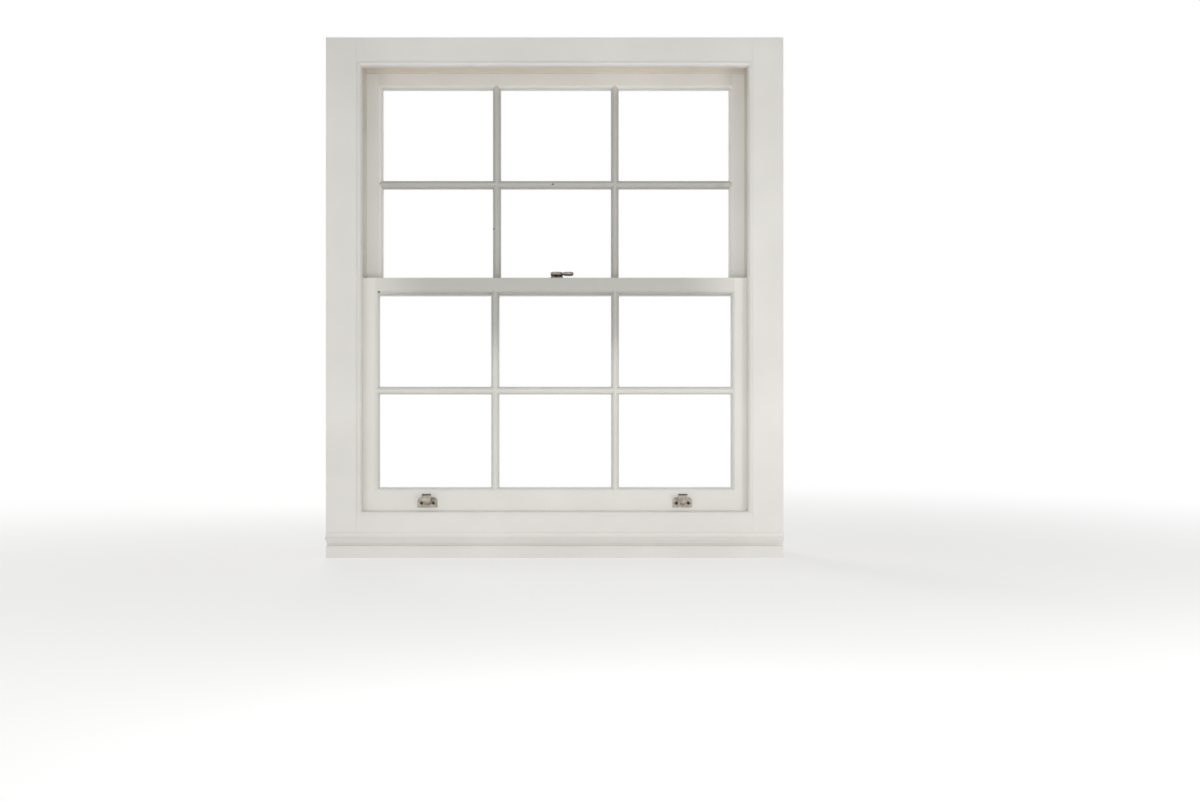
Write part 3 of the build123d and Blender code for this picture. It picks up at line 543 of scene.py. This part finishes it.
@dataclass(frozen=True)
class Palette:
    """The materials of the window, each made once."""

    case_upright: bpy.types.Material
    case_level: bpy.types.Material
    sash_upright: bpy.types.Material
    sash_level: bpy.types.Material
    upper_stile: bpy.types.Material
    lower_bar_upright: bpy.types.Material
    lower_bar_level: bpy.types.Material
    meeting_rail: bpy.types.Material
    upper_bar_upright: bpy.types.Material
    upper_bar_level: bpy.types.Material
    channel_paint: bpy.types.Material
    putty: bpy.types.Material
    pine_upright: bpy.types.Material
    pine_level: bpy.types.Material
    glass: bpy.types.Material
    cotton: bpy.types.Material
    twine: bpy.types.Material
    bronze: bpy.types.Material
    lit_bronze: bpy.types.Material
    nickel: bpy.types.Material
    brass: bpy.types.Material
    steel: bpy.types.Material
    iron: bpy.types.Material

    @staticmethod
    def mixed() -> "Palette":
        """Make every material.

        Returns:
            The materials of the whole window.
        """
        corner_chip = (-449.5, -42.0, 676.5)
        cross_bar_chip = (-7.6, 8.0, 959.8)
        upright_bar_chip = (-161.0, 12.0, 844.5)
        # The bars and meeting rails get a darker paint as painted shade, and the upper stiles a lighter
        # one as painted light.
        sash = {"fresh": "#E5E4DE", "aged": "#DFDDD7"}
        # Painted light: a lighter paint for the upper stiles.
        pale = {"fresh": "#EEEDE8", "aged": "#E8E6E1"}
        corner = {"chips": (corner_chip,)}
        # Painted shade deepens to the middle of the meeting rail and the upper cross bars, towards the top
        # of the lower upright bars, and down the upper upright bars from near the head.
        rail = {"fresh": "#DFDDD7", "aged": "#D9D7D1", "shade_mm": (480.0, 310.0)}
        # Painted shade: a darker paint for the lower bars.
        shaded_bar_tone = {"fresh": "#E1E0D9", "aged": "#DAD9D2"}
        shade_near_rail = {"shade_mm": (475.0, 610.0), "shade_tone": "#B9B8B2"}
        # Painted shade: a darker paint for the upper bars, which also carry two chips.
        shaded_chipped = {"fresh": "#D2D0CA", "aged": "#CBC9C3", "chips": (cross_bar_chip, upright_bar_chip)}
        shade_below_head = {"shade_mm": (1222.0, 1180.0)}
        shade_off_stiles = {"shade_mm": (462.0, 420.0)}
        rubbed = {"fresh": "#DFDCD4", "aged": "#D5D1C7", "sheen": (0.42, 0.55)}
        knifed = {"mark_width_mm": 4.0, "mark_length_mm": 40.0, "mark_depth_mm": 0.12}
        # Painted shade at the lever's foot and along the lifts' tops; the weights are rough.
        foot = {"height_shade_mm": (724.5, 719.6)}
        tops = {"height_shade_mm": (157.5, 160.5)}
        rough = {"sheen": (0.6, 0.8), "metallic": 0.5, "pit_mm": 1.4, "pit_depth_mm": 0.3}
        finishes = {
            "case_upright": SatinPaint("satin_paint_case_upright", Along.UPRIGHT),
            "case_level": SatinPaint("satin_paint_case_level", Along.LEVEL),
            "sash_upright": SatinPaint("satin_paint_sash_upright", Along.UPRIGHT, **sash, **corner),
            "sash_level": SatinPaint("satin_paint_sash_level", Along.LEVEL, **sash),
            "upper_stile": SatinPaint("lit_paint_upper_stile", Along.UPRIGHT, **pale),
            "lower_bar_upright": SatinPaint("shaded_bar_paint_upright", Along.UPRIGHT, **shaded_bar_tone, **shade_near_rail),
            "lower_bar_level": SatinPaint("shaded_bar_paint_level", Along.LEVEL, **shaded_bar_tone),
            "meeting_rail": SatinPaint("shaded_rail_paint_level", Along.LEVEL, **rail, **corner),
            "upper_bar_upright": SatinPaint("worn_paint_upright", Along.UPRIGHT, **shaded_chipped, **shade_below_head),
            "upper_bar_level": SatinPaint("shaded_chipped_paint_level", Along.LEVEL, **shaded_chipped, **shade_off_stiles),
            "channel_paint": SatinPaint("rubbed_channel_paint", Along.UPRIGHT, **rubbed),
            "putty": SatinPaint("painted_putty", Along.LEVEL, **knifed),
            "pine_upright": SawnPine("sawn_pine_upright", Along.UPRIGHT),
            "pine_level": SawnPine("sawn_pine_level", Along.LEVEL),
            "glass": PaneGlass("drawn_glass"),
            "cotton": BraidedCotton("braided_cotton"),
            "twine": BraidedCotton("waxed_twine", "#B9A988", "#6F6248"),
            "bronze": AgedMetal("aged_bronze", "#8E8279", "#665A50", "#2E261C"),
            # Painted light: the lever's bronze is lighter than that of the base and keeper.
            "lit_bronze": AgedMetal("lit_bronze", "#BDB2AA", "#8F857D", "#2E261C", **foot),
            "nickel": AgedMetal("aged_nickel", "#C6BFB2", "#9C9486", **tops),
            "brass": AgedMetal("aged_brass", "#C2A36A", "#94784A", "#4B3A22"),
            "steel": AgedMetal("darkened_steel", "#5E564B", "#463F36", "#1E1A16"),
            "iron": AgedMetal("cast_iron", "#55504A", "#6B4A36", "#23201D", **rough),
        }
        return Palette(**{part: finish.material() for part, finish in finishes.items()})


def dress(material: bpy.types.Material, *node_names: str, arris_mm: float = 0.0) -> None:
    """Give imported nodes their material, and ease their sharp edges.

    Args:
        material: The finish.
        node_names: The nodes.
        arris_mm: How wide their edges are eased, or 0 where they meet a neighbour flush.
    """
    for name in node_names:
        piece = frame["nodes"][name]
        piece.data.materials.clear()
        piece.data.materials.append(material)
        if arris_mm:
            weld = piece.modifiers.new("Weld", "WELD")
            weld.merge_threshold = WELD
            ease = piece.modifiers.new("Arris", "BEVEL")
            ease.width = arris_mm * MM
            ease.segments = ARRIS_SEGMENTS
            ease.limit_method = "ANGLE"
            ease.angle_limit = ARRIS_FROM
        log.info("dressed %s in %s", name, material.name)


def both(stem: str) -> list[str]:
    """The names of a piece's left and right nodes."""
    return [f"{stem}_{side.name.lower()}" for side in Side]


@dataclass
class CasedFrame:
    """The fixed part: sill, head, hollow jambs with their linings, and the beads that hold the sashes."""

    board_arris_mm: float = 0.8
    bead_arris_mm: float = 0.5
    metal_arris_mm: float = 0.3

    def build(self, palette: Palette) -> None:
        """Dress the fixed pieces.

        Args:
            palette: The window's materials.
        """
        self.dress_boards(palette)
        self.dress_beads(palette)
        self.dress_insides(palette)
        self.dress_pulley_cases(palette)

    def dress_boards(self, palette: Palette) -> None:
        """Paint the sill and the linings that show.

        Args:
            palette: The window's materials.
        """
        level = ["sill", "inner_lining_head", "outer_lining_head"]
        dress(palette.case_level, *level, arris_mm=self.board_arris_mm)
        upright = both("inner_lining") + both("outer_lining")
        dress(palette.case_upright, *upright, arris_mm=self.board_arris_mm)

    def dress_beads(self, palette: Palette) -> None:
        """Paint the staff beads, the parting beads and the cover mould.

        Args:
            palette: The window's materials.
        """
        dress(palette.case_upright, *both("staff_bead"), arris_mm=self.bead_arris_mm)
        level = ["staff_bead_head", "staff_bead_bottom", "cover_mould"]
        dress(palette.case_level, *level, arris_mm=self.bead_arris_mm)
        parting = [*both("parting_bead"), "parting_bead_head"]
        dress(palette.channel_paint, *parting, arris_mm=self.bead_arris_mm)

    def dress_insides(self, palette: Palette) -> None:
        """Paint the channels that the sashes run in, and leave the hidden boards bare.

        Args:
            palette: The window's materials.
        """
        dress(palette.channel_paint, *both("pulley_stile"), "pocket_pieces")
        dress(palette.pine_upright, *both("back_lining"), "parting_slips", arris_mm=self.board_arris_mm)
        dress(palette.pine_level, "head")

    def dress_pulley_cases(self, palette: Palette) -> None:
        """Give the pulleys' cases their brass, and the axles and the cases' screws darkened steel."""
        dress(palette.brass, *both("pulley_cases"), arris_mm=self.metal_arris_mm)
        dress(palette.steel, "pulley_axles", "case_screws")


@dataclass
class GlazedSash:
    """One sliding sash of six puttied panes."""

    sash: Sash
    outer_rail: str

    def build(self, palette: Palette) -> None:
        """Dress the sash.

        Args:
            palette: The window's materials.
        """
        name = self.sash.value
        if self.sash is Sash.LOWER:
            bars_upright, bars_level = palette.lower_bar_upright, palette.lower_bar_level
            dress(palette.sash_upright, *both(f"{name}_stile"))
        else:
            bars_upright, bars_level = palette.upper_bar_upright, palette.upper_bar_level
            dress(palette.upper_stile, *both(f"{name}_stile"))
        dress(palette.sash_level, f"{name}_{self.outer_rail}")
        dress(palette.meeting_rail, f"{name}_meeting_rail")
        dress(bars_level, f"{name}_cross_bars")
        dress(bars_upright, f"{name}_upright_bars")
        dress(palette.putty, f"{name}_putty")
        dress(palette.glass, f"{name}_panes")
        # Thin clear glass casts hardly any shadow, and these panes cast none.
        frame["nodes"][f"{name}_panes"].visible_shadow = False


@dataclass
class Fastener:
    """The turning fastener on the meeting rails: its base and keeper, and a lever cast in one piece.

    The lever has a broad hub on the pivot, a hooked claw and a thick round thumb piece.
    """

    arris_mm: float = 0.7
    plate_and_boss: float = 7.3 * MM
    hub_height: float = 10.0 * MM
    hub_radius: float = 15.5 * MM
    hub_round: float = 3.0 * MM
    bore_radius: float = 3.1 * MM
    rivet_seat_height: float = 5.1 * MM
    rivet_seat_radius: float = 5.9 * MM
    claw_thickness: float = 3.0 * MM
    claw_inner: float = 22.0 * MM
    claw_outer: float = 31.0 * MM
    claw_sweep: float = math.radians(40)
    claw_steps: int = 12
    thumb_start: float = 11.0 * MM
    thumb_end: float = 44.0 * MM
    thumb_neck: float = 3.2 * MM
    thumb_height: float = 5.7 * MM
    thumb_radius: float = 5.4 * MM
    thumb_swell: float = 0.45
    thumb_stations: int = 24
    thumb_steps: int = 24
    hub_steps: int = 48
    rim_segments: int = 4
    near: float = 0.01 * MM
    sharp_from: float = math.radians(35)

    def build(self, palette: Palette) -> None:
        """Dress the base and keeper, and cast the lever.

        Args:
            palette: The window's materials.
        """
        dress(palette.bronze, "fastener_base", "fastener_keeper", arris_mm=self.arris_mm)
        turn = next(joint for joint in frame["joints"] if joint["name"] == "fastener_turn")
        made = bmesh.new()
        self.add_hub(made)
        self.add_claw(made)
        self.add_thumb(made)
        foot = Vector(turn["pos_m"]) + Vector((0.0, 0.0, self.plate_and_boss))
        bmesh.ops.translate(made, verts=made.verts, vec=foot)
        # The lever takes the lighter bronze, as painted light.
        lever = finished("fastener_lever_cast", made, palette.lit_bronze, self.sharp_from)
        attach(lever, "fastener_lever")
        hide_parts("fastener_lever")

    def add_hub(self, made: bmesh.types.BMesh) -> None:
        """Turn the hub, bored for the pivot, with a rounded rim and a seat for the rivet's head.

        Args:
            made: The mesh that it is added to.
        """
        corners = [(self.bore_radius, 0.0), (self.hub_radius, 0.0),
                   (self.hub_radius, self.hub_height), (self.rivet_seat_radius, self.hub_height),
                   (self.rivet_seat_radius, self.rivet_seat_height),
                   (self.bore_radius, self.rivet_seat_height)]
        ring = [made.verts.new((reach, 0.0, height)) for reach, height in corners]
        section = [made.edges.new((ring[n - 1], ring[n])) for n in range(len(ring))]
        bmesh.ops.spin(made, geom=ring + section, axis=(0, 0, 1), cent=(0, 0, 0), angle=math.tau,
                       steps=self.hub_steps, use_merge=True)
        bmesh.ops.remove_doubles(made, verts=made.verts, dist=self.near)
        rims = [edge for edge in made.edges if self.on_rim(edge)]
        bmesh.ops.bevel(made, geom=rims, offset=self.hub_round, segments=self.rim_segments, profile=0.5,
                        affect="EDGES", material=-1)

    def on_rim(self, edge: bmesh.types.BMEdge) -> bool:
        """Whether an edge lies along the hub's outer rim."""
        level = abs(edge.verts[0].co.z - edge.verts[1].co.z) < self.near
        return level and all(vertex.co.xy.length > self.hub_radius - self.near for vertex in edge.verts)

    def add_claw(self, made: bmesh.types.BMesh) -> None:
        """Sweep the claw, and join it to the hub with a flat neck.

        Args:
            made: The mesh that it is added to.
        """
        start = Matrix.Rotation(-math.pi / 2 - self.claw_sweep / 2, 3, "Z")
        corners = [(self.claw_inner, 0.0), (self.claw_outer, 0.0),
                   (self.claw_outer, self.claw_thickness), (self.claw_inner, self.claw_thickness)]
        section = [made.verts.new(start @ Vector((reach, 0.0, height))) for reach, height in corners]
        face = made.faces.new(section)
        bmesh.ops.spin(made, geom=[face, *face.edges, *face.verts], axis=(0, 0, 1), cent=(0, 0, 0),
                       angle=self.claw_sweep, steps=self.claw_steps)
        width = self.claw_outer - self.claw_inner
        reach = (self.claw_outer + self.claw_inner) / 2
        size = Matrix.Diagonal((width, reach, self.claw_thickness, 1.0))
        place = Matrix.Translation((0.0, -reach / 2, self.claw_thickness / 2))
        bmesh.ops.create_cube(made, size=1.0, matrix=place @ size)

    def add_thumb(self, made: bmesh.types.BMesh) -> None:
        """Turn the thumb piece: a neck that swells to a round bar with a domed end.

        Args:
            made: The mesh that it is added to.
        """
        middle = self.thumb_height
        length = self.thumb_end - self.thumb_start
        last = None
        line = []
        for n in range(self.thumb_stations + 1):
            share = math.sin(math.pi / 2 * n / self.thumb_stations)
            swell = eased(min(share / self.thumb_swell, 1.0))
            reach = self.thumb_neck + (self.thumb_radius - self.thumb_neck) * swell
            dome = max(0.0, (share - 1) * length / self.thumb_radius + 1)
            reach *= math.sqrt(max(0.0, 1 - dome * dome))
            point = made.verts.new((self.thumb_start + length * share, 0.0, middle + reach))
            if last:
                line.append(made.edges.new((last, point)))
            last = point
        points = list({vertex for edge in line for vertex in edge.verts})
        bmesh.ops.spin(made, geom=points + line, axis=(1, 0, 0), cent=(0, 0, middle), angle=math.tau,
                       steps=self.thumb_steps, use_merge=True)
        bmesh.ops.remove_doubles(made, verts=made.verts, dist=self.near)
        bmesh.ops.holes_fill(made, edges=[edge for edge in made.edges if edge.is_boundary])


@dataclass
class HookLifts:
    """The two hook lifts on the bottom rail, and the screws of the whole ironmongery."""

    arris_mm: float = 0.6

    def build(self, palette: Palette) -> None:
        """Dress the lifts and the screws.

        Args:
            palette: The window's materials.
        """
        dress(palette.nickel, "sash_lifts", arris_mm=self.arris_mm)
        dress(palette.steel, "lower_sash_screws", "keeper_screws")


@dataclass(frozen=True)
class Braid:
    """The plait of a cord: strands that cross each other as they wind round it."""

    ATTRIBUTE = "strand_height"
    strands: int = 8
    stitch: float = 3.0 * MM
    relief: float = 0.35 * MM

    def height(self, turn: float, metres: float, stitch: float) -> float:
        """How high the braid stands at one place.

        Args:
            turn: The place round the cord, in turns.
            metres: The place along the cord.
            stitch: How far a strand goes forward before it is crossed.

        Returns:
            0 in a groove between strands, and 1 on a strand's crown.
        """
        # The nudge keeps a point that lies just on a groove to one side of it.
        nudge = 1e-6
        ways = [turn * self.strands + metres / stitch, turn * self.strands - metres / stitch]
        on_top = sum(math.floor(way + nudge) for way in ways) % 2
        return math.sin(math.pi * ((ways[on_top] + nudge) % 1))


@dataclass
class CordPiece:
    """A length of cord: a strip that is plaited flat and rolled round a line."""

    name: str
    line: list[Vector]
    radius: float = 3.0 * MM
    braid: Braid = Braid()
    around: int = 32
    closed: bool = False

    def build(self, material: bpy.types.Material, slot_name: str = "cotton_cord") -> bpy.types.Object:
        """Roll the strip round the line.

        Args:
            material: The cord's finish.
            slot_name: The record's slot for it; not used.

        Returns:
            The finished object.
        """
        made = bmesh.new()
        crown = made.verts.layers.float.new(Braid.ATTRIBUTE)
        stations = self.stations()
        rows = len(stations) - 1
        length = sum((after - before).length for before, after in zip(self.line, self.line[1:]))
        stitch = length / max(1, round(length / self.braid.stitch))
        bmesh.ops.create_grid(made, x_segments=self.around, y_segments=rows, size=0.5)
        for vertex in made.verts:
            turn = vertex.co.x + 0.5
            row = round((vertex.co.y + 0.5) * rows)
            height = self.braid.height(turn, length * row / rows, stitch)
            reach = self.radius - self.braid.relief * (1 - height)
            angle = math.tau * turn
            vertex[crown] = height
            vertex.co = stations[row] @ Vector((reach * math.cos(angle), reach * math.sin(angle), 0.0))
        bmesh.ops.remove_doubles(made, verts=made.verts, dist=WELD)
        if not self.closed:
            bmesh.ops.holes_fill(made, edges=[edge for edge in made.edges if edge.is_boundary])
        piece = finished(self.name, made, material)
        return piece

    def stations(self) -> list[Matrix]:
        """Where each row lies and how it is turned, without twist from one to the next.

        Returns:
            For each point of the line, the transform that carries a flat ring there.
        """
        last = len(self.line) - 1
        ways = [self.line[min(n + 1, last)] - self.line[max(n - 1, 0)] for n in range(last + 1)]
        if self.closed:
            ways[0] = ways[last] = self.line[1] - self.line[last - 1]
        turned = ways[0].to_track_quat("Z", "Y")
        places = []
        for number, point in enumerate(self.line):
            turned = ways[max(number - 1, 0)].rotation_difference(ways[number]) @ turned
            places.append(Matrix.Translation(point) @ turned.to_matrix().to_4x4())
        return places


def finished(name: str, made: bmesh.types.BMesh, material: bpy.types.Material,
             sharp_from: float = math.pi) -> bpy.types.Object:
    """Turn a bmesh into a smooth object with its finish.

    Args:
        name: The piece's name.
        made: The mesh, which is freed.
        material: The piece's finish.
        sharp_from: The angle between two faces, in radians, from which their edge looks sharp.

    Returns:
        The object, linked to the scene.
    """
    bmesh.ops.recalc_face_normals(made, faces=made.faces)
    for face in made.faces:
        face.smooth = True
    for edge in made.edges:
        edge.smooth = edge.calc_face_angle(0.0) < sharp_from
    mesh = bpy.data.meshes.new(name)
    made.to_mesh(mesh)
    made.free()
    mesh.materials.append(material)
    piece = bpy.data.objects.new(name, mesh)
    bpy.context.scene.collection.objects.link(piece)
    log.info("built %s with %d faces", name, len(mesh.polygons))
    return piece


@dataclass
class SashCord:
    """One sash cord: knotted in its sash, led over its pulley and tied to its weight.

    The stretches beside the sash and beside the weight are built straight, up to the wheel.
    """

    sash: Sash
    side: Side
    knot_drop: float
    radius: float = 3.0 * MM
    lead_height: float = 26.0 * MM
    knot_size: float = 6.0 * MM
    knot_turns: float = 2.25
    knot_cord_radius: float = 2.6 * MM
    lug_radius: float = 12.0 * MM
    eye_radius: float = 6.5 * MM
    loop_radius: float = 9.5 * MM
    step: float = 0.75 * MM
    twine_radius: float = 0.8 * MM
    twine: Braid = Braid(strands=3, stitch=2.0 * MM, relief=0.12 * MM)
    twine_around: int = 12
    whip_turns: int = 6
    whip_rise: float = 3.0 * MM

    def __post_init__(self) -> None:
        """Take the cord's route from the wheel, the weight and the sash."""
        side = self.side.name.lower()
        self.name = f"{self.sash.value}_cord_{side}"
        self.weight_body = f"{self.sash.value}_weight_{side}"
        self.sash_body = f"{self.sash.value}_sash"
        self.joint = f"{self.sash.value}_sash_slide"
        low, high = (Vector(corner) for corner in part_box(f"{self.sash.value}_pulley_wheel_{side}"))
        self.wheel = (low + high) / 2
        low, high = (Vector(corner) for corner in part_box(self.weight_body))
        self.weight_x = (low.x + high.x) / 2
        self.cord_x = 2 * self.wheel.x - self.weight_x
        self.knot_x = self.cord_x - self.side.value * self.knot_size
        self.knot_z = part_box(f"{self.sash.value}_stile_{side}")[1][2] - self.knot_drop
        self.lead_top = self.knot_z + self.lead_height
        self.loop_z = high.z - (self.lug_radius - self.eye_radius) / 2
        self.loop_top = self.loop_z + self.loop_radius

    def build(self, palette: Palette) -> None:
        """Build the cord's pieces, each on the body that carries it.

        Args:
            palette: The window's materials.
        """
        over = self.over_wheel().build(palette.cotton)
        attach(over, "frame")
        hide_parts(self.name)
        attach(self.knotted_end().build(palette.cotton), self.sash_body)
        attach(self.eye_loop().build(palette.cotton), self.weight_body)
        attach(self.whipping().build(palette.twine), self.weight_body)
        run = self.upright("run", self.cord_x, self.lead_top).build(palette.cotton)
        drop = self.upright("drop", self.weight_x, self.loop_top).build(palette.cotton)
        if self.sash is Sash.LOWER:
            self.shorten(run)
            self.lengthen(drop)
        else:
            self.shorten(drop)
            self.lengthen(run)

    def spot(self, x: float, z: float) -> Vector:
        """A point in the cord's own plane."""
        return Vector((x, self.wheel.y, z))

    def upright(self, part: str, x: float, low: float) -> CordPiece:
        """The straight stretch from a height up to the wheel.

        Args:
            part: The stretch's name.
            x: Where it hangs.
            low: The height of its lower end.

        Returns:
            The stretch, not yet built.
        """
        rise = self.wheel.z - low
        count = round(rise / self.step)
        line = [self.spot(x, low + rise * n / count) for n in range(count + 1)]
        return CordPiece(f"{self.name}_{part}", line, self.radius)

    def over_wheel(self) -> CordPiece:
        """The half turn over the wheel.

        Returns:
            The half turn, not yet built.
        """
        pitch = abs(self.weight_x - self.wheel.x)
        count = round(math.pi * pitch / self.step)
        angles = [math.pi * n / count for n in range(count + 1)]
        spokes = [Vector((math.cos(angle), 0.0, math.sin(angle))) for angle in angles]
        line = [self.wheel + pitch * spoke for spoke in spokes]
        return CordPiece(f"{self.name}_over", line, self.radius)

    def knotted_end(self) -> CordPiece:
        """The knot, wound upwards round its own middle, and the bend from it to the straight stretch.

        Returns:
            The knot and the bend as one piece, not yet built.
        """
        middle = self.spot(self.knot_x, self.knot_z)
        wound = self.knot_size - self.knot_cord_radius
        count = round(math.tau * wound * self.knot_turns / self.step)
        line = []
        for n in range(count):
            share = n / count
            tilt = math.pi * (1 - share)
            angle = math.tau * self.knot_turns * share
            level = wound * math.sin(tilt)
            level_spot = Vector((level * math.cos(angle), level * math.sin(angle), 0.0))
            line.append(middle + level_spot + Vector((0.0, 0.0, wound * math.cos(tilt))))
        rise = self.lead_top - self.knot_z - wound
        count = round(rise / self.step)
        for n in range(count + 1):
            share = n / count
            x = self.knot_x + (self.cord_x - self.knot_x) * eased(share)
            line.append(self.spot(x, self.knot_z + wound + rise * share))
        return CordPiece(f"{self.name}_knot", line, self.knot_cord_radius)

    def eye_loop(self) -> CordPiece:
        """The loop through the weight's eye.

        Returns:
            The loop, not yet built.
        """
        middle = self.spot(self.weight_x, self.loop_z)
        count = round(math.tau * self.loop_radius / self.step)
        angles = [math.tau * n / count for n in range(count + 1)]
        spokes = [Vector((0.0, math.sin(angle), math.cos(angle))) for angle in angles]
        line = [middle + self.loop_radius * spoke for spoke in spokes]
        return CordPiece(f"{self.name}_loop", line, self.radius, closed=True)

    def whipping(self) -> CordPiece:
        """The twine that binds the cord above its loop.

        Returns:
            The twine, not yet built.
        """
        reach = self.radius + self.twine_radius / 2
        count = round(math.tau * reach * self.whip_turns / self.step)
        line = []
        for n in range(count + 1):
            angle = math.tau * self.whip_turns * n / count
            climb = self.loop_top + self.whip_rise + 2 * self.twine_radius * angle / math.tau
            turned = Vector((reach * math.cos(angle), reach * math.sin(angle), 0.0))
            line.append(self.spot(self.weight_x, climb) + turned)
        return CordPiece(f"{self.name}_whipping", line, self.twine_radius, self.twine, self.twine_around)

    def shorten(self, piece: bpy.types.Object) -> None:
        """Hang a stretch on the frame, with a mesh of its own.

        Args:
            piece: The stretch.
        """
        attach(piece, "frame")
        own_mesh(piece)

    def lengthen(self, piece: bpy.types.Object) -> None:
        """Bake a stretch's place into its mesh.

        Args:
            piece: The stretch.
        """
        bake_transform(piece)


@dataclass
class Balance:
    """The weights, wheels and cords that carry both sashes."""

    lower_knot_drop: float = 200.0 * MM
    upper_knot_drop: float = 270.0 * MM

    def build(self, palette: Palette) -> None:
        """Dress the weights and wheels, and build the four cords.

        Args:
            palette: The window's materials.
        """
        drops = {Sash.LOWER: self.lower_knot_drop, Sash.UPPER: self.upper_knot_drop}
        for sash, drop in drops.items():
            dress(palette.brass, *both(f"{sash.value}_pulley_wheel"))
            dress(palette.iron, *both(f"{sash.value}_weight"))
            for side in Side:
                SashCord(sash, side, drop).build(palette)


@dataclass(frozen=True)
class Lamp:
    """A soft square lamp, with its place and side in metres and its power in watts."""

    name: str
    place: tuple[float, float, float]
    size: float
    power: float

    def hang(self, aim: tuple[float, float, float]) -> None:
        """Hang the lamp and turn it to a point.

        Args:
            aim: The point.
        """
        lamp = bpy.data.lights.new(self.name, "AREA")
        lamp.size = self.size
        lamp.energy = self.power
        hung = bpy.data.objects.new(self.name, lamp)
        way = Vector(aim) - Vector(self.place)
        turned = way.to_track_quat("-Z", "Y").to_matrix().to_4x4()
        hung.matrix_world = Matrix.Translation(self.place) @ turned
        # The panes do not show the lamp's square outline.
        hung.visible_glossy = False
        hung.visible_transmission = False
        bpy.context.scene.collection.objects.link(hung)


@dataclass
class Studio:
    """A pale floor that fades to white, soft lamps, and the camera at the photograph's viewpoint.

    The lamps in front hang low and are tilted down, so that the window grows dimmer towards its head.
    """

    floor_radius: float = 9.0
    floor_segments: int = 96
    floor_colour: str = "#F1F0EE"
    floor_roughness: float = 0.9
    floor_near_share: float = 0.55
    fade_start: float = 0.9
    fade_end: float = 3.2
    sky_light: float = 0.46
    lamp_aim: tuple[float, float, float] = (0.0, 0.0, -1.0)
    camera_place: tuple[float, float, float] = (0.115, -3.40, 0.399)
    lens_mm: float = 39.4
    sensor_mm: float = 36.0
    lamps: tuple[Lamp, ...] = (
        Lamp("right_low", (1.7, -1.9, 0.42), 0.8, 12.0),
        Lamp("left_low", (-1.9, -2.3, 0.42), 0.8, 9.5),
        Lamp("front_low", (0.2, -2.3, 0.37), 0.7, 12.0),
        Lamp("back_high", (-1.2, 2.6, 1.7), 1.2, 34.0),
    )

    def build(self) -> None:
        """Build the floor, the world, the lamps and the camera."""
        self.lay_floor()
        self.light_world()
        for lamp in self.lamps:
            lamp.hang(self.lamp_aim)
        self.set_camera()
        bpy.context.scene.view_settings.view_transform = "Standard"

    def lay_floor(self) -> None:
        """Lay a round floor, plain white to the eye far off and shaded near the window."""
        made = bmesh.new()
        round_edge = {"segments": self.floor_segments, "radius": self.floor_radius}
        bmesh.ops.create_circle(made, cap_ends=True, **round_edge)
        paper, tree, shader = Finish("floor_paper").start()
        shader.inputs["Base Color"].default_value = linear(self.floor_colour)
        shader.inputs["Roughness"].default_value = self.floor_roughness
        place = add_node(tree, "TexCoord").outputs["Object"]
        far = add_node(tree, "VectorMath", {0: place}, operation="LENGTH").outputs["Value"]
        ends = {"From Min": self.fade_start, "From Max": self.fade_end, "To Min": self.floor_near_share}
        fade = add_node(tree, "MapRange", {"Value": far, **ends}, interpolation_type="SMOOTHSTEP")
        seen = {0: fade.outputs["Result"], 1: self.seen_directly(tree)}
        share = add_node(tree, "Math", seen, operation="MULTIPLY")
        white = add_node(tree, "Emission").outputs["Emission"]
        mix = add_node(tree, "MixShader", {0: share.outputs["Value"], 1: shader.outputs["BSDF"], 2: white})
        tree.links.new(mix.outputs["Shader"], tree.nodes["Material Output"].inputs["Surface"])
        finished("floor", made, paper)

    @staticmethod
    def seen_directly(tree: bpy.types.NodeTree) -> bpy.types.NodeSocket:
        """Tell the eye's rays, also those in a mirror or through glass, from those of cast light.

        Args:
            tree: The material's or the world's node tree.

        Returns:
            1 for a ray of the eye, and 0 for cast light.
        """
        path = add_node(tree, "LightPath").outputs
        direct = {0: path["Is Camera Ray"], 1: path["Is Glossy Ray"]}
        first = add_node(tree, "Math", direct, operation="MAXIMUM")
        through = {0: first.outputs["Value"], 1: path["Is Transmission Ray"]}
        return add_node(tree, "Math", through, operation="MAXIMUM").outputs["Value"]

    def light_world(self) -> None:
        """Light the window evenly from all round, in front of plain white."""
        world = bpy.data.worlds.new("studio_light")
        bpy.context.scene.world = world
        world.use_nodes = True
        tree = world.node_tree
        tree.nodes.clear()
        seen = {"Value": self.seen_directly(tree), "To Min": self.sky_light, "To Max": 1.0}
        strength = add_node(tree, "MapRange", seen).outputs["Result"]
        sky = add_node(tree, "Background", {"Strength": strength, "Color": (1.0, 1.0, 1.0, 1.0)})
        add_node(tree, "OutputWorld", {"Surface": sky.outputs["Background"]})

    def set_camera(self) -> None:
        """Stand the camera level where the photograph was taken from, and turn it straight ahead."""
        camera = bpy.data.cameras.new("camera")
        camera.lens = self.lens_mm
        camera.sensor_width = self.sensor_mm
        stand = bpy.data.objects.new("camera", camera)
        stand.location = self.camera_place
        stand.rotation_euler = Euler((math.radians(90), 0.0, 0.0))
        bpy.context.scene.collection.objects.link(stand)
        bpy.context.scene.camera = stand


def main() -> None:
    """Set up the studio, then dress and build the window, sub-assembly by sub-assembly."""
    logging.basicConfig(level=logging.INFO, format="%(name)s: %(message)s")
    Studio().build()
    palette = Palette.mixed()
    CasedFrame().build(palette)
    GlazedSash(Sash.LOWER, "bottom_rail").build(palette)
    GlazedSash(Sash.UPPER, "top_rail").build(palette)
    Fastener().build(palette)
    HookLifts().build(palette)
    Balance().build(palette)


if __name__ == "__main__":
    main()
